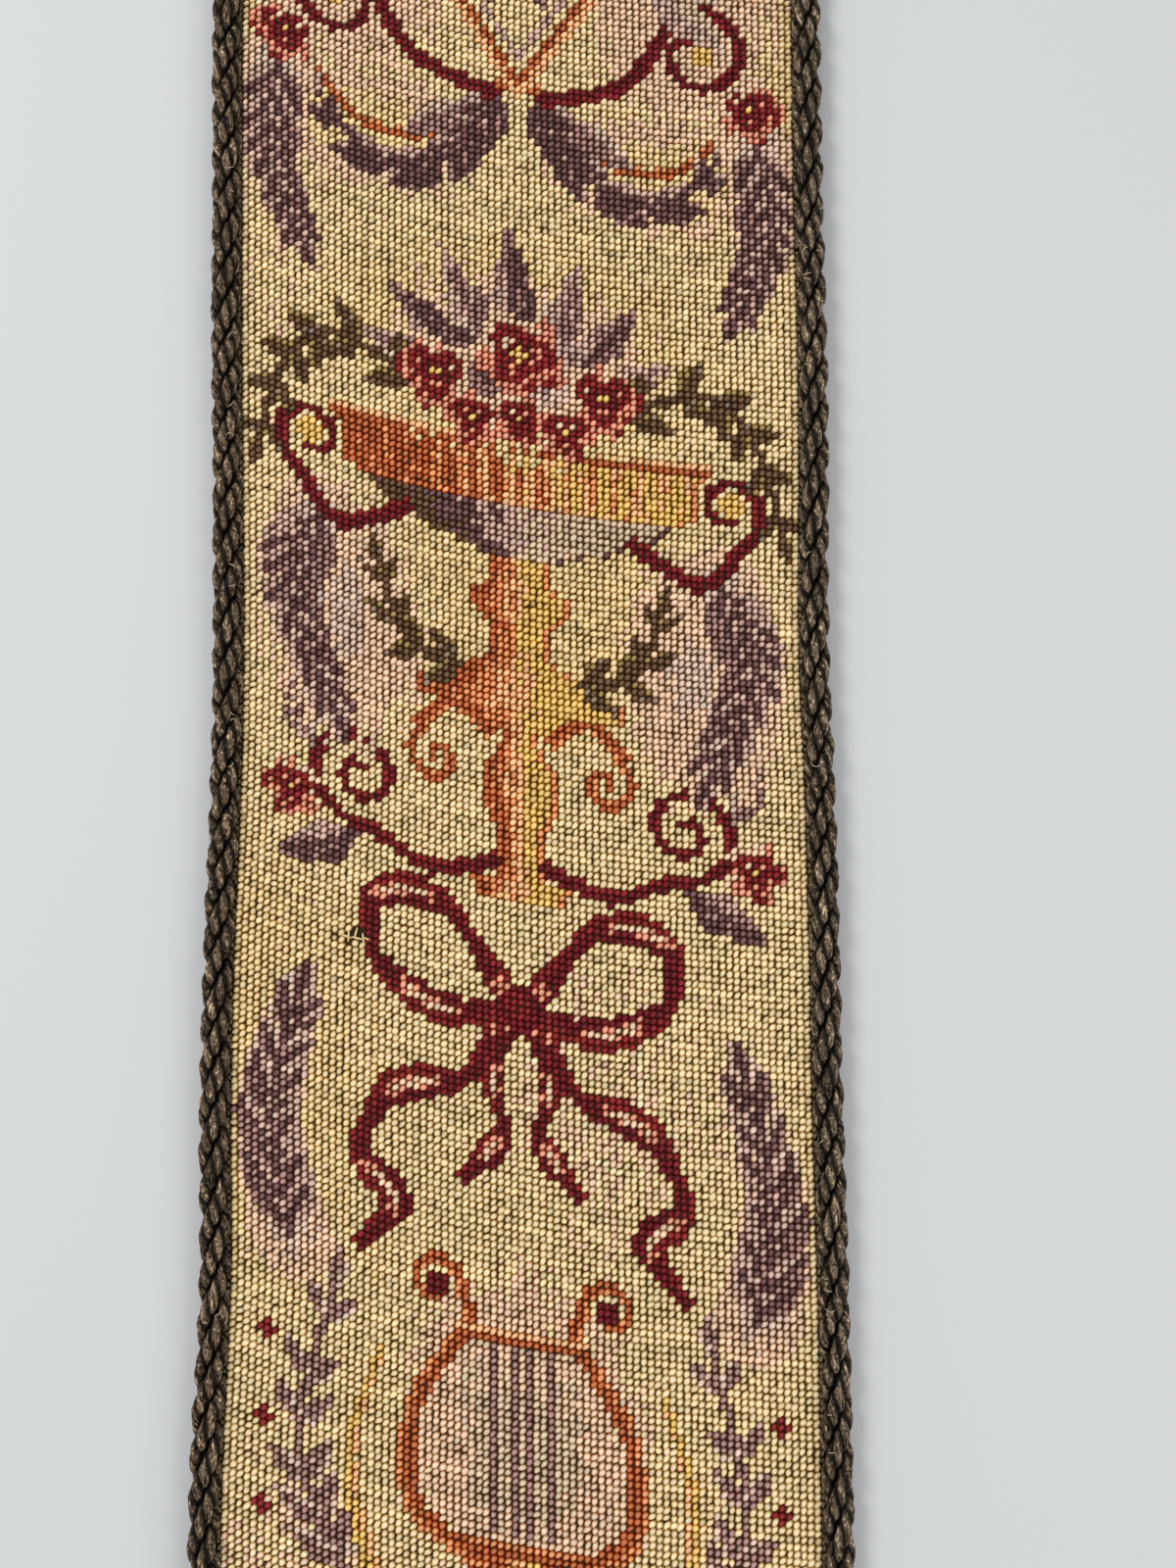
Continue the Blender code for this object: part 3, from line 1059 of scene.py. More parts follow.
def pattern_tree():
    """A tree that sets one pattern mesh on every point of its host."""
    tree, given = new_tree("pattern on points", {"Pattern": "Object", "Yarn": "Material"})
    pattern = node(tree, "GeometryNodeObjectInfo", {"Object": given["Pattern"]})
    rotation = node(tree, "FunctionNodeEulerToRotation", {0: stored(tree, "turn", "FLOAT_VECTOR")})
    worked = node(tree, "GeometryNodeInstanceOnPoints", {
        "Points": given["Host"], "Instance": pattern.outputs["Geometry"],
        "Rotation": rotation.outputs[0], "Scale": stored(tree, "size", "FLOAT_VECTOR")})
    close_tree(tree, worked.outputs[0], given["Yarn"])
    return tree


def unit(arrows):
    return arrows / np.linalg.norm(arrows, axis=-1, keepdims=True)


def turns_of(ahead, up):
    """Euler angles that lay a pattern's X along one direction and its Z along another."""
    up = unit(up)
    across = unit(np.cross(up, ahead))
    ahead = np.cross(across, up)
    lean = -np.arcsin(np.clip(ahead[..., 2], -1, 1))
    return np.stack([np.arctan2(across[..., 2], up[..., 2]), lean, np.arctan2(ahead[..., 1], ahead[..., 0])],
                    axis=-1)


def cloth_axes(tilt_x, tilt_y):
    """Directions across, along and out of the cloth where it has rolled over by two angles."""
    zero = np.zeros_like(tilt_x)
    across = np.stack([np.cos(tilt_x), zero, -np.sin(tilt_x)], axis=-1)
    along = np.stack([zero, np.cos(tilt_y), -np.sin(tilt_y)], axis=-1)
    return across, along, unit(np.cross(across, along))


PATTERN = pattern_tree()
print("nodes in the stitching tree", len(PATTERN.nodes))

# %% [markdown]
# Hands vary, so each stitch leans, shifts and swells a little differently, and wool from one length of yarn
# keeps its own tone for a couple of dozen stitches. Where the cloth rolls under beside the cords, painted
# shade darkens the wool. Noise in the tree could do this too, but arrays also know the chart and the fold.

# %% Where every stitch goes
HAND_SEED = 5
SLANT = math.radians(54)
SLANT_FOLLOWS = 0.35
HAND_SHIFT = 0.07 * MM
HAND_LEAN = math.radians(12)
HAND_SWELL = 0.08
STITCH_SIZE = 1.03
SINK = 0.92
LAST_ROW_SHARE = 0.7

# Tones: of one length of yarn, of one stitch, of its hue, and the painted shade on the wool where the cloth
# rolls under at the fold
YARN_STITCHES = 19
YARN_LENGTHS = 4096
YARN_TONE = 0.045
STITCH_TONE = 0.10
BRIGHTEST = 1.08
HUE_TONE = 0.008
DARKEST = 0.004
FOLD_SHADE_FROM = math.radians(32)
FOLD_SHADE_SPAN = math.radians(38)
FOLD_SHADE = 0.85

# The worn place, where a few stitches are gone
WORN_X = -43.6 * MM
WORN_Y = -46.6 * MM
WORN_WIDE = 3.7 * MM
WORN_TALL = 1.9 * MM


def lay_stitches():
    """Wool numbers, places, turns, sizes and colours of every stitch on the strip."""
    hand = np.random.default_rng(HAND_SEED)
    edge = COLUMNS // 2 + 1
    column, row = np.meshgrid(np.arange(-edge, edge + 1), np.arange(ROWS))
    column, row = column.ravel(), row.ravel()
    nominal = column * CANVAS_PITCH
    along = (row - (ROWS - 1) / 2) * CANVAS_PITCH - row_fall(nominal)
    kept = np.abs(along) < HALF_LENGTH + ROLL_MEAN * LAST_ROW_SHARE
    column, row, nominal, along = column[kept], row[kept], nominal[kept], along[kept]
    count = len(column)
    shifted = column + hand.normal(0, HAND_SHIFT, count) / CANVAS_PITCH
    x, y, z, tilt_x, tilt_y = on_strip(shifted, along + hand.normal(0, HAND_SHIFT, count))
    slant = SLANT - SLANT_FOLLOWS * row_slope(nominal) + hand.normal(0, HAND_LEAN, count)
    across, lengthways, up = cloth_axes(tilt_x, tilt_y)
    ahead = np.cos(slant)[:, None] * across + np.sin(slant)[:, None] * lengthways
    places = np.stack([x, y, z], axis=-1) - up * (STITCH_HIGH * SINK)
    size = STITCH_SIZE + hand.normal(0, HAND_SWELL, (count, 3))
    wools = np.array([linear(WOOLS[name]) for name in WOOL_NAMES])
    wool = chart[row, np.clip(column + COLUMNS // 2, 0, COLUMNS - 1)]
    # The multipliers here only scatter the lengths of yarn over their table of tones
    length = (column + 7 * (row % 5) + row * 3) // YARN_STITCHES
    tones = hand.normal(1, YARN_TONE, YARN_LENGTHS)
    tone = tones[(length * 61 + row * 17) % YARN_LENGTHS]
    tone = tone * (BRIGHTEST - np.abs(hand.normal(0, STITCH_TONE, count)))
    # Painted shade: stitches on the cloth that rolls under at the fold are darkened, standing for the shadow
    # there
    tone = tone * (1 - FOLD_SHADE * np.clip((np.abs(tilt_x) - FOLD_SHADE_FROM) / FOLD_SHADE_SPAN, 0, 1))
    hue = 1 + hand.normal(0, HUE_TONE, (count, 3))
    color = np.clip(wools[wool] * tone[:, None] * hue, DARKEST, 1)
    whole = np.hypot((x - WORN_X) / WORN_WIDE, (y - WORN_Y) / WORN_TALL) > 1
    return wool[whole], places[whole], turns_of(ahead, up)[whole], size[whole], color[whole]


wool_number, places, angles, size, color = lay_stitches()
print("stitches", len(places))

# %% [markdown]
# The stitches are grown in three pieces, so that none has too many triangles: the lower and the upper ground,
# and the motifs. Every stitch gets its own square of the map for a baked picture.

# %% Work the canvas
BAKE_MARGIN = 0.12


def point_cloud(name, places, angles, size, color):
    """A mesh of loose points that carries the values which the tree reads."""
    mesh = mesh_of(name, places)
    for label, kind, key, values in (("turn", "FLOAT_VECTOR", "vector", angles),
                                     ("size", "FLOAT_VECTOR", "vector", size),
                                     ("wool", "FLOAT_COLOR", "color", np.c_[color, np.ones(len(color))])):
        attribute = mesh.attributes.new(label, kind, "POINT")
        attribute.data.foreach_set(key, values.astype(np.float32).ravel())
    return mesh


def bake_map(piece, copies):
    """A map that gives every copy of the pattern its own square of the baked picture."""
    thread = read_all(piece.data.uv_layers["thread"].data, "uv", np.float32, 2).reshape(copies, -1, 2)
    side = math.ceil(math.sqrt(copies))
    cell = np.stack([np.arange(copies) % side, np.arange(copies) // side], axis=-1)[:, None, :]
    inner = BAKE_MARGIN + (1 - 2 * BAKE_MARGIN) * thread
    bake_layer(piece, (cell + inner) / side)


GROUND = [WOOL_NAMES.index(name) for name in ("cream", "ivory", "straw", "blush", "stone")]
is_ground = np.isin(wool_number, GROUND)
lower_half = places[:, 1] < 0
groups = {
    "ground_stitches_lower": is_ground & lower_half,
    "ground_stitches_upper": is_ground & ~lower_half,
    "motif_stitches": ~is_ground,
}
stitched = []
for name, chosen in groups.items():
    host = point_cloud(name + "_points", places[chosen], angles[chosen], size[chosen], color[chosen])
    piece = grow(name, host, PATTERN, {"Pattern": stitch, "Yarn": WOOL})
    bake_map(piece, int(chosen.sum()))
    stitched.append(piece)
    print(name, int(chosen.sum()), "stitches,", len(piece.data.polygons), "triangles")

# %% [markdown]
# The canvas shows in the gaps between stitches and on the underside. Woven threads there would cost more
# than they show, so its brown cotton is a mottled tone with a relief of even waves, one to a thread. Its
# brown is darkened far below the cotton's own tone as painted shade, because it is seen only deep in the
# gaps.

# %% Brown canvas
THREAD_WAVES = 0.5 / CANVAS_PITCH / math.pi
MOTTLE_SCALE = 240.0
# Painted shade: both tones are far darker than the cotton itself, for the gaps where the canvas shows
CANVAS_DARK = (0.014, 0.008, 0.003)
CANVAS_LIGHT = (0.055, 0.030, 0.012)
CANVAS_RELIEF = 0.3 * MM


def canvas_material():
    """Brown cotton canvas threads above, and the same cloth with the backs of the stitches below, its brown
    darkened as painted shade of the deep gaps.
    """
    material, tree, shader = new_material("canvas_in_painted_shade", roughness=0.95, sheen=0.1)
    place = node(tree, "ShaderNodeTexCoord").outputs["Object"]
    rows = node(tree, "ShaderNodeTexWave", {"Vector": place, "Scale": THREAD_WAVES, "Distortion": 1.2},
                bands_direction="Y")
    mottle = noise(tree, place, MOTTLE_SCALE, detail=3.0)
    two_tones(tree, shader, mottle, CANVAS_DARK, CANVAS_LIGHT)
    relief(tree, shader, rows.outputs["Fac"], strength=0.6, distance=CANVAS_RELIEF)
    return material


CANVAS = canvas_material()
print("canvas threads in 100 mm", round(100 * MM / CANVAS_PITCH, 1))

# %% [markdown]
# Under the stitches lies the canvas itself. It is one closed sheet: its top just below the wool, rolled over
# at every edge, and its underside flat on the floor, a little higher inside the turned hem.
# A flat board would do under the stitches, but not at the folds. So the sheet is a grid of cloth points, and
# follows the same rolls and swells as the stitches do.

# %% The canvas sheet
SHEET_ACROSS = 70
SHEET_ALONG = 260
CROWDED_ACROSS = 0.7
CROWDED_ALONG = 0.8
SHEET_RISE = 0.12 * MM
SHEET_LOWEST = 0.9 * MM
UNDERSIDE = (0.994, 0.999, 0)
HEM_WIDE = 17 * MM
HEM_SLOPE = 1.5 * MM
HEM_STEP = 0.35 * MM
SHARP_FROM = math.radians(60)


def sheet_grid():
    """Cloth coordinates of the sheet's grid, closer together over the folds."""
    half = np.linspace(0, 1, SHEET_ACROSS // 2 + 1) ** CROWDED_ACROSS
    columns = FOLD_COLUMNS * np.concatenate([-half[::-1], half[1:]])
    half = np.linspace(0, 1, SHEET_ALONG // 2 + 1) ** CROWDED_ALONG
    reach = HALF_LENGTH - ROLL_WIDE + ROLL_MEAN * math.pi / 2
    return columns, reach * np.concatenate([-half[::-1], half[1:]])


def sheet_points():
    """The sheet's top, and its underside with the step of the hem, as two grids of points."""
    columns, along = sheet_grid()
    column, length = np.meshgrid(columns, along)
    x, y, z, tilt_x, tilt_y = on_strip(column, length)
    inward = np.stack([-np.sin(tilt_x), -np.sin(tilt_y), -np.cos(tilt_x) * np.cos(tilt_y)], axis=-1)
    top = np.stack([x, y, z], axis=-1) + inward * (STITCH_HIGH * SINK - SHEET_RISE)
    top[..., 2] = np.maximum(top[..., 2], SHEET_LOWEST)
    hem = np.minimum(reach_at(np.sign(column), y) - np.abs(x), HALF_LENGTH - np.abs(y))
    low = top * UNDERSIDE
    low[..., 2] = HEM_STEP * np.clip((hem - HEM_WIDE) / HEM_SLOPE, 0, 1)
    return top, low


def canvas_sheet():
    """Both grids as faces, joined by a wall round the rim."""
    top, low = sheet_points()
    rows, wide, _ = top.shape
    index = np.arange(rows * wide).reshape(rows, wide)
    upper = [(index[j, i], index[j, i + 1], index[j + 1, i + 1], index[j + 1, i])
             for j in range(rows - 1) for i in range(wide - 1)]
    offset = rows * wide
    lower = [tuple(offset + v for v in reversed(face)) for face in upper]
    rim = ([index[0, i] for i in range(wide)] + [index[j, -1] for j in range(1, rows)]
           + [index[-1, i] for i in range(wide - 2, -1, -1)] + [index[j, 0] for j in range(rows - 2, 0, -1)])
    wall = [(a, a + offset, b + offset, b) for a, b in zip(rim, rim[1:] + rim[:1])]
    points = np.concatenate([top.reshape(-1, 3), low.reshape(-1, 3)])
    mesh = mesh_of("canvas_sheet", points, faces=upper + lower + wall)
    mesh.shade_smooth()
    mesh.set_sharp_from_angle(angle=SHARP_FROM)
    mesh.materials.append(CANVAS)
    return placed("canvas_sheet", mesh)


canvas = canvas_sheet()
print("canvas faces", len(canvas.data.polygons))

# %% [markdown]
# Single threads and hairs are thin tubes that bow a little and taper to both ends. A curve with a bevel would
# make one too, but a mesh is what the frame takes, so a helper skins a line of points with rings.

# %% Pale fibres as thin tubes
TUBE_ENDS = 0.6
PALE_GRAIN = 2400.0


def pale_material(name, dark, light):
    """Pale twisted fibre, in two tones."""
    material, tree, shader = new_material(name, roughness=0.85, sheen=0.1)
    place = node(tree, "ShaderNodeTexCoord").outputs["Object"]
    grain = noise(tree, place, PALE_GRAIN, detail=2.0)
    two_tones(tree, shader, grain, linear(dark), linear(light))
    return material


def tubes(name, lines, thick, sides, material):
    """One mesh of closed tubes along lines of points, each thickest in the middle."""
    points, faces = [], []
    for line in lines:
        ahead = unit(line[-1] - line[0])
        aside = unit(np.cross((0, 0, 1), ahead))
        up = np.cross(ahead, aside)
        first = len(points)
        for t, middle in zip(np.linspace(0, 1, len(line)), line):
            reach = thick * (TUBE_ENDS + (1 - TUBE_ENDS) * math.sin(math.pi * t))
            for angle in np.arange(sides) * math.tau / sides:
                points.append(middle + reach * (math.cos(angle) * aside + math.sin(angle) * up))
        rings = np.arange(first, len(points)).reshape(len(line), sides)
        for near, far in zip(rings, rings[1:]):
            faces += [(near[i - 1], near[i], far[i], far[i - 1]) for i in range(sides)]
        faces += [tuple(rings[0][::-1]), tuple(rings[-1])]
    mesh = mesh_of(name, points, faces=[tuple(int(v) for v in face) for face in faces])
    mesh.shade_smooth()
    mesh.materials.append(material)
    return placed(name, mesh)


print("a tube is", TUBE_ENDS, "of its thickness at its ends")

# %% [markdown]
# In one place a few stitches have worn away and the pale threads of the canvas show, with a dark hole
# between them. They are a handful of short tubes, crossed and pushed askew, because a woven patch
# would look new.

# %% Bare threads at the worn place
THREAD_THICK = 0.27 * MM
THREAD_SIDES = 6
THREAD_POINTS = 5
THREAD_SUNK = 0.45 * MM
THREAD_BOW = 0.35

# Ends of each thread, and how high it lies, in millimetres from the worn place
THREADS = [
    {"from": (-3.6, 0.4), "to": (-1.0, -0.5), "lift": 0.0},
    {"from": (-1.9, -1.5), "to": (-1.7, 1.7), "lift": 0.2},
    {"from": (-0.2, -0.6), "to": (0.5, 2.2), "lift": 0.3},
    {"from": (-1.0, -0.2), "to": (2.2, -1.0), "lift": 0.1},
    {"from": (2.3, -2.0), "to": (1.9, 0.8), "lift": 0.3},
    {"from": (2.0, -0.3), "to": (4.2, -1.3), "lift": 0.0},
]


def thread_lines():
    """Bowed lines that cross over the worn place."""
    level = float(top_at(np.array(WORN_X), np.array(WORN_Y))) - THREAD_SUNK
    lines = []
    for thread in THREADS:
        start, end = np.array(thread["from"]) * MM, np.array(thread["to"]) * MM
        t = np.linspace(0, 1, THREAD_POINTS)[:, None]
        height = level + (thread["lift"] + THREAD_BOW * np.sin(math.pi * t)) * MM
        lines.append(np.hstack([start + (end - start) * t + (WORN_X, WORN_Y), height]))
    return lines


COTTON = pale_material("pale_canvas_thread", (204, 172, 108), (248, 228, 168))
bare = tubes("bare_threads", thread_lines(), THREAD_THICK, THREAD_SIDES, COTTON)
print("bare threads", len(THREADS), "faces", len(bare.data.polygons))

# %% [markdown]
# The cord is three strands laid round each other, and each strand is made of soft plies twisted the other
# way. Seen from outside, slanting grooves part the strands, and each strand's face is crossed by plump
# lobes that run nearly in line with the cord, from one groove to the next.
# Two numbers place any point of the surface: how far it is across its strand, and how far it is across its
# lobe. One helper works them out with nodes that both kinds of tree understand: the geometry tree shapes
# the strands with them, and the yarn's material paints shade on the same places.

# %% Where a point lies on the laid cord
CORD_RADIUS = 4.2 * MM
STRANDS = 3
LOBES_PER_LAY = 9.5
LOBE_SKEW = 2.3
STRAND_PHASE = 2 / 3
GROOVE_WAVE = 0.03
WAVE_SHIFT = 0.067
WAVE_PHASE = (LOBE_SKEW - STRAND_PHASE) / 2 - WAVE_SHIFT
LOBE_WANDER = 0.45
WANDER_STRAND = 3.7
WANDER_STEP = 0.45


def cord_pattern(tree, ring, lays):
    """Nodes for the strand's number, the place across it, the lobe's number and the place across that."""
    split = node(tree, "ShaderNodeSeparateXYZ", {0: ring})
    turn = maths(tree, "ARCTAN2", split.outputs[1], split.outputs[0])
    turn = times(tree, turn, STRANDS / math.tau)
    steps = times(tree, lays, LOBES_PER_LAY)
    wave = plus(tree, steps, times(tree, turn, STRAND_PHASE))
    wave = maths(tree, "COSINE", times(tree, plus(tree, wave, WAVE_PHASE), math.tau))
    waved = minus(tree, turn, times(tree, wave, GROOVE_WAVE))
    nearest_strand = maths(tree, "ROUND", waved)
    across = minus(tree, waved, nearest_strand)
    straight = minus(tree, turn, nearest_strand)
    strand = node(tree, "ShaderNodeMath", {0: nearest_strand, 1: STRANDS - 0.5, 2: -0.5},
                  operation="WRAP").outputs[0]
    spot = node(tree, "ShaderNodeCombineXYZ", {0: times(tree, strand, WANDER_STRAND),
                                               1: times(tree, steps, WANDER_STEP)}).outputs[0]
    drift = noise(tree, spot, 1.0, detail=0.0)
    lobes = plus(tree, steps, times(tree, strand, STRAND_PHASE))
    lobes = plus(tree, lobes, times(tree, straight, LOBE_SKEW))
    lobes = plus(tree, lobes, times(tree, drift, LOBE_WANDER))
    lobe = maths(tree, "ROUND", lobes)
    return strand, across, lobe, minus(tree, lobes, lobe)


print("lobes in one lay", LOBES_PER_LAY, "on", STRANDS, "strands")

# %% [markdown]
# The yarn is a dark brown with a dull gloss. Fine fibres run along each lobe, the glints where some of them
# catch the light are painted highlights in the colour, and the nearly black grooves are painted shade. A
# plain brown with bump would lose all this at a distance, so noise is stretched along the lobes to draw the
# fibres and the glints, and each lobe has a tone of its own.

# %% The yarn of the cords
YARN_SCREEN = {"left_cord": (94, 79, 62), "right_cord": (93, 80, 64)}
LOBE_TONE = 0.62
LOBE_TONE_SPAN = 0.7
YARN_RELIEF = 0.3 * MM

# How much each noise is stretched within a lobe, across its strand and from lobe to lobe
FIBRE_STRETCH = (6.5, 3.6, 7.3)
GLINT_STRETCH = (5.2, 9.0, 3.1)

# The span of each noise that counts, and the tones at both ends of it; the glints are painted highlights
FIBRE_TONES = (0.40, 0.62, 0.05, 1.9)
PAINTED_GLINT_TONES = (0.54, 0.66, 0.0, 6.0)

# Painted shade: where a strand and a lobe start to darken towards their borders, where they end, and what is
# left
STRAND_SHADE = (0.32, 0.46, 0.01)
LOBE_SHADE = (0.08, 0.47, 0.06)


def border_shade(tree, place, start, end, least):
    """Painted shade: one in the middle of a strand or lobe, and a small value at its border."""
    return spread(tree, maths(tree, "ABSOLUTE", place), start, end, 1.0, least, "SMOOTHSTEP")


def yarn_noise(tree, places, stretch):
    """Noise over the places on a lobe, each stretched by its own number."""
    stretched = {i: times(tree, place, stretch[i]) for i, place in enumerate(places)}
    spot = node(tree, "ShaderNodeCombineXYZ", stretched).outputs[0]
    return noise(tree, spot, 1.0, detail=4.0, roughness=0.7)


def cord_material(name, screen):
    """Lustrous brown yarn: fine fibres along each lobe, painted glints, tones from lobe to lobe, and painted
    shade in the grooves and at the lobes' borders.
    """
    material, tree, shader = new_material(name, roughness=0.5, sheen=0.0)
    ring = node(tree, "ShaderNodeAttribute", attribute_name="ring").outputs["Vector"]
    lays = node(tree, "ShaderNodeAttribute", attribute_name="lays").outputs["Fac"]
    strand, across, lobe, within = cord_pattern(tree, ring, lays)
    number = node(tree, "ShaderNodeCombineXYZ", {0: strand, 1: lobe}).outputs[0]
    chance = node(tree, "ShaderNodeTexWhiteNoise", {"Vector": number}).outputs["Value"]
    fibres = yarn_noise(tree, (within, across, lobe), FIBRE_STRETCH)
    # Painted highlights: bright specks where fibres would catch the light
    painted_glints = yarn_noise(tree, (within, across, lobe), GLINT_STRETCH)
    streak = plus(tree, spread(tree, fibres, *FIBRE_TONES), spread(tree, painted_glints, *PAINTED_GLINT_TONES))
    # Painted shade: dark at the grooves between strands and at the borders between lobes
    light = times(tree, border_shade(tree, across, *STRAND_SHADE), border_shade(tree, within, *LOBE_SHADE))
    tone = times(tree, streak, plus(tree, times(tree, chance, LOBE_TONE_SPAN), LOBE_TONE))
    color = scaled(tree, (*linear(screen),), times(tree, tone, light))
    tree.links.new(color, shader.inputs["Base Color"])
    relief(tree, shader, fibres, strength=0.7, distance=YARN_RELIEF)
    return material


for name, screen in YARN_SCREEN.items():
    print(name, "yarn as a shader sees it", linear(screen).round(3))

# %% [markdown]
# A strand is round, but squeezed by its neighbours, so only its outer face shows. The face of a circle of
# its size gives the distance from the cord's middle line, and each lobe sinks from there to its rim.

# %% Round strands and plump lobes
STRAND_SHARE = 0.56
LOBE_SUNK = 1.1 * MM
END_POWER = 5.0
FLANK_POWER = 3.0
FLANK_SHARE = 0.9


def strand_reach(tree, across):
    """Share of the cord's radius at which the face of a round strand lies."""
    angle = times(tree, across, math.tau / STRANDS)
    out = times(tree, maths(tree, "COSINE", angle), 1 - STRAND_SHARE)
    aside = times(tree, maths(tree, "SINE", angle), 1 - STRAND_SHARE)
    rest = minus(tree, STRAND_SHARE ** 2, times(tree, aside, aside))
    return plus(tree, out, maths(tree, "SQRT", maths(tree, "MAXIMUM", rest, 0.0)))


def steep(tree, place, power):
    """Nought in the middle of a place across something, and rising to one at its border."""
    return maths(tree, "POWER", maths(tree, "ABSOLUTE", times(tree, place, 2.0)), power)


def border(tree, across, within):
    """Nought in the middle of a lobe, and one all round its rim."""
    ends = steep(tree, across, END_POWER)
    flanks = steep(tree, within, FLANK_POWER)
    return maths(tree, "MINIMUM", plus(tree, ends, times(tree, flanks, FLANK_SHARE)), 1.0)


print("strand, mm", 2 * STRAND_SHARE * CORD_RADIUS / MM, "lobes sink", LOBE_SUNK / MM)

# %% [markdown]
# The geometry tree turns the cord's middle line into a curve, twists it at the rate of the lay so that the
# mesh follows the strands, and skins it with a circle. Then every point moves to its true distance from the
# middle line. Three twisted tubes would make a cord too, but they would cross each other inside and double
# the triangles.

# %% A tree that lays a cord


def cord_tree():
    """A tree that lays a cord along its host's line of edges."""
    tree, given = new_tree("laid cord", {"Radius": "Float", "Lay": "Float", "Sides": "Int",
                                         "Yarn": "Material"})
    line = node(tree, "GeometryNodeMeshToCurve", {"Mesh": given["Host"]})
    position = node(tree, "GeometryNodeInputPosition").outputs[0]
    length = node(tree, "GeometryNodeSplineParameter").outputs["Length"]
    lays = maths(tree, "DIVIDE", length, given["Lay"])
    kept = keep(tree, line.outputs[0], "centre", position, "FLOAT_VECTOR")
    kept = keep(tree, kept, "lays", lays, "FLOAT")
    twist = times(tree, lays, math.tau)
    tilted = node(tree, "GeometryNodeSetCurveTilt", {"Curve": kept, "Tilt": twist})
    ring = node(tree, "GeometryNodeCurvePrimitiveCircle", {"Resolution": given["Sides"],
                                                           "Radius": given["Radius"]}, mode="RADIUS")
    skin = node(tree, "GeometryNodeCurveToMesh", {
        "Curve": tilted.outputs[0], "Profile Curve": ring.outputs[0], "Fill Caps": True})
    centre = stored(tree, "centre", "FLOAT_VECTOR")
    lays = stored(tree, "lays", "FLOAT")
    out = vectors(tree, "MULTIPLY", vectors(tree, "SUBTRACT", position, centre), (1, 0, 1))
    out = node(tree, "ShaderNodeVectorMath", {0: out}, operation="NORMALIZE").outputs[0]
    split = node(tree, "ShaderNodeSeparateXYZ", {0: out})
    angle = maths(tree, "ARCTAN2", split.outputs[0], split.outputs[2])
    angle = minus(tree, angle, times(tree, lays, math.tau))
    circle = node(tree, "ShaderNodeCombineXYZ", {
        0: maths(tree, "COSINE", angle), 1: maths(tree, "SINE", angle)})
    marked = keep(tree, skin.outputs[0], "ring", circle.outputs[0], "FLOAT_VECTOR")
    _, across, _, within = cord_pattern(tree, stored(tree, "ring", "FLOAT_VECTOR"), lays)
    face = times(tree, given["Radius"], strand_reach(tree, across))
    sunk = times(tree, border(tree, across, within), LOBE_SUNK)
    reach = times(tree, minus(tree, face, sunk), stored(tree, "taper", "FLOAT"))
    place = vectors(tree, "ADD", centre, scaled(tree, out, reach))
    shaped = node(tree, "GeometryNodeSetPosition", {"Geometry": marked, "Position": place})
    smooth = node(tree, "GeometryNodeSetShadeSmooth", {"Geometry": shaped.outputs[0]})
    close_tree(tree, smooth.outputs[0], given["Yarn"])
    return tree


CORD = cord_tree()
print("nodes in the cord's tree", len(CORD.nodes))

# %% [markdown]
# Each cord lies snug against its folded edge and wavers with it. A straight line would leave gaps, so its
# middle line is read from the table of folds. Both tips narrow, because the cord's ends are bound off there.

# %% The middle line of each cord
CORD_STATION = 0.56 * MM
CORD_WANDER = 0.10 * MM
QUICK_WAVES = 190
SLOW_WAVES = 83
TIP_LENGTH = 7 * MM
TIP_SCALE = 0.45


def measured(cord):
    """A cord's row with half its length, its edge, and how far beyond that edge its middle line runs."""
    low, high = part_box(cord["name"])
    edge = RIGHT_REACH if cord["side"] > 0 else LEFT_REACH
    outer = high.x if cord["side"] > 0 else -low.x
    beyond = outer - edge.max() - CORD_RADIUS - cord["snug"]
    return cord | {"half": (high.y - low.y) / 2, "edge": edge, "beyond": beyond}


def cord_middle(cord, y):
    """X of a cord's middle line, beside its folded edge."""
    side = cord["side"]
    wander = CORD_WANDER * (np.sin(y * QUICK_WAVES + side) + np.sin(y * SLOW_WAVES - side)) / 2
    return side * (np.interp(y, ALONG, cord["edge"]) + cord["beyond"]) + wander


def cord_line(cord):
    """A cord's middle line as a mesh of edges, with a taper at both tips."""
    half = cord["half"]
    y = np.linspace(-half, half, round(2 * half / CORD_STATION) + 1)
    x = cord_middle(cord, y)
    left = np.clip((half - np.abs(y)) / TIP_LENGTH, 0, 1)
    taper = TIP_SCALE + (1 - TIP_SCALE) * np.sqrt(1 - (1 - left) ** 2)
    mesh = mesh_of(cord["name"] + "_line", [(a, b, CORD_RADIUS) for a, b in zip(x, y)],
                   edges=[(i, i + 1) for i in range(len(y) - 1)])
    mesh.attributes.new("taper", "FLOAT", "POINT").data.foreach_set("value", taper.astype(np.float32))
    return mesh


# Which solid each cord stands for, its side, how far it is drawn in and the length of its lay
CORDS = [measured(cord) for cord in (
    {"name": "left_cord", "side": -1, "snug": 0.7 * MM, "lay": 32.5 * MM},
    {"name": "right_cord", "side": 1, "snug": 0.2 * MM, "lay": 34.3 * MM},
)]
for cord in CORDS:
    print(cord["name"], "runs", round(cord["beyond"] / MM, 2), "mm beyond its fold")

# %% [markdown]
# The cords are dark against the pale wool, and their lay is a little longer at the right. For the baked
# picture each long tube is cut into a few lengths that lie one above the other, since one thin stripe would
# waste nearly all of it.

# %% Lay the cords
CORD_SIDES = 48
BAKE_STRIPS = 6
STRIP_MARGIN = 0.03


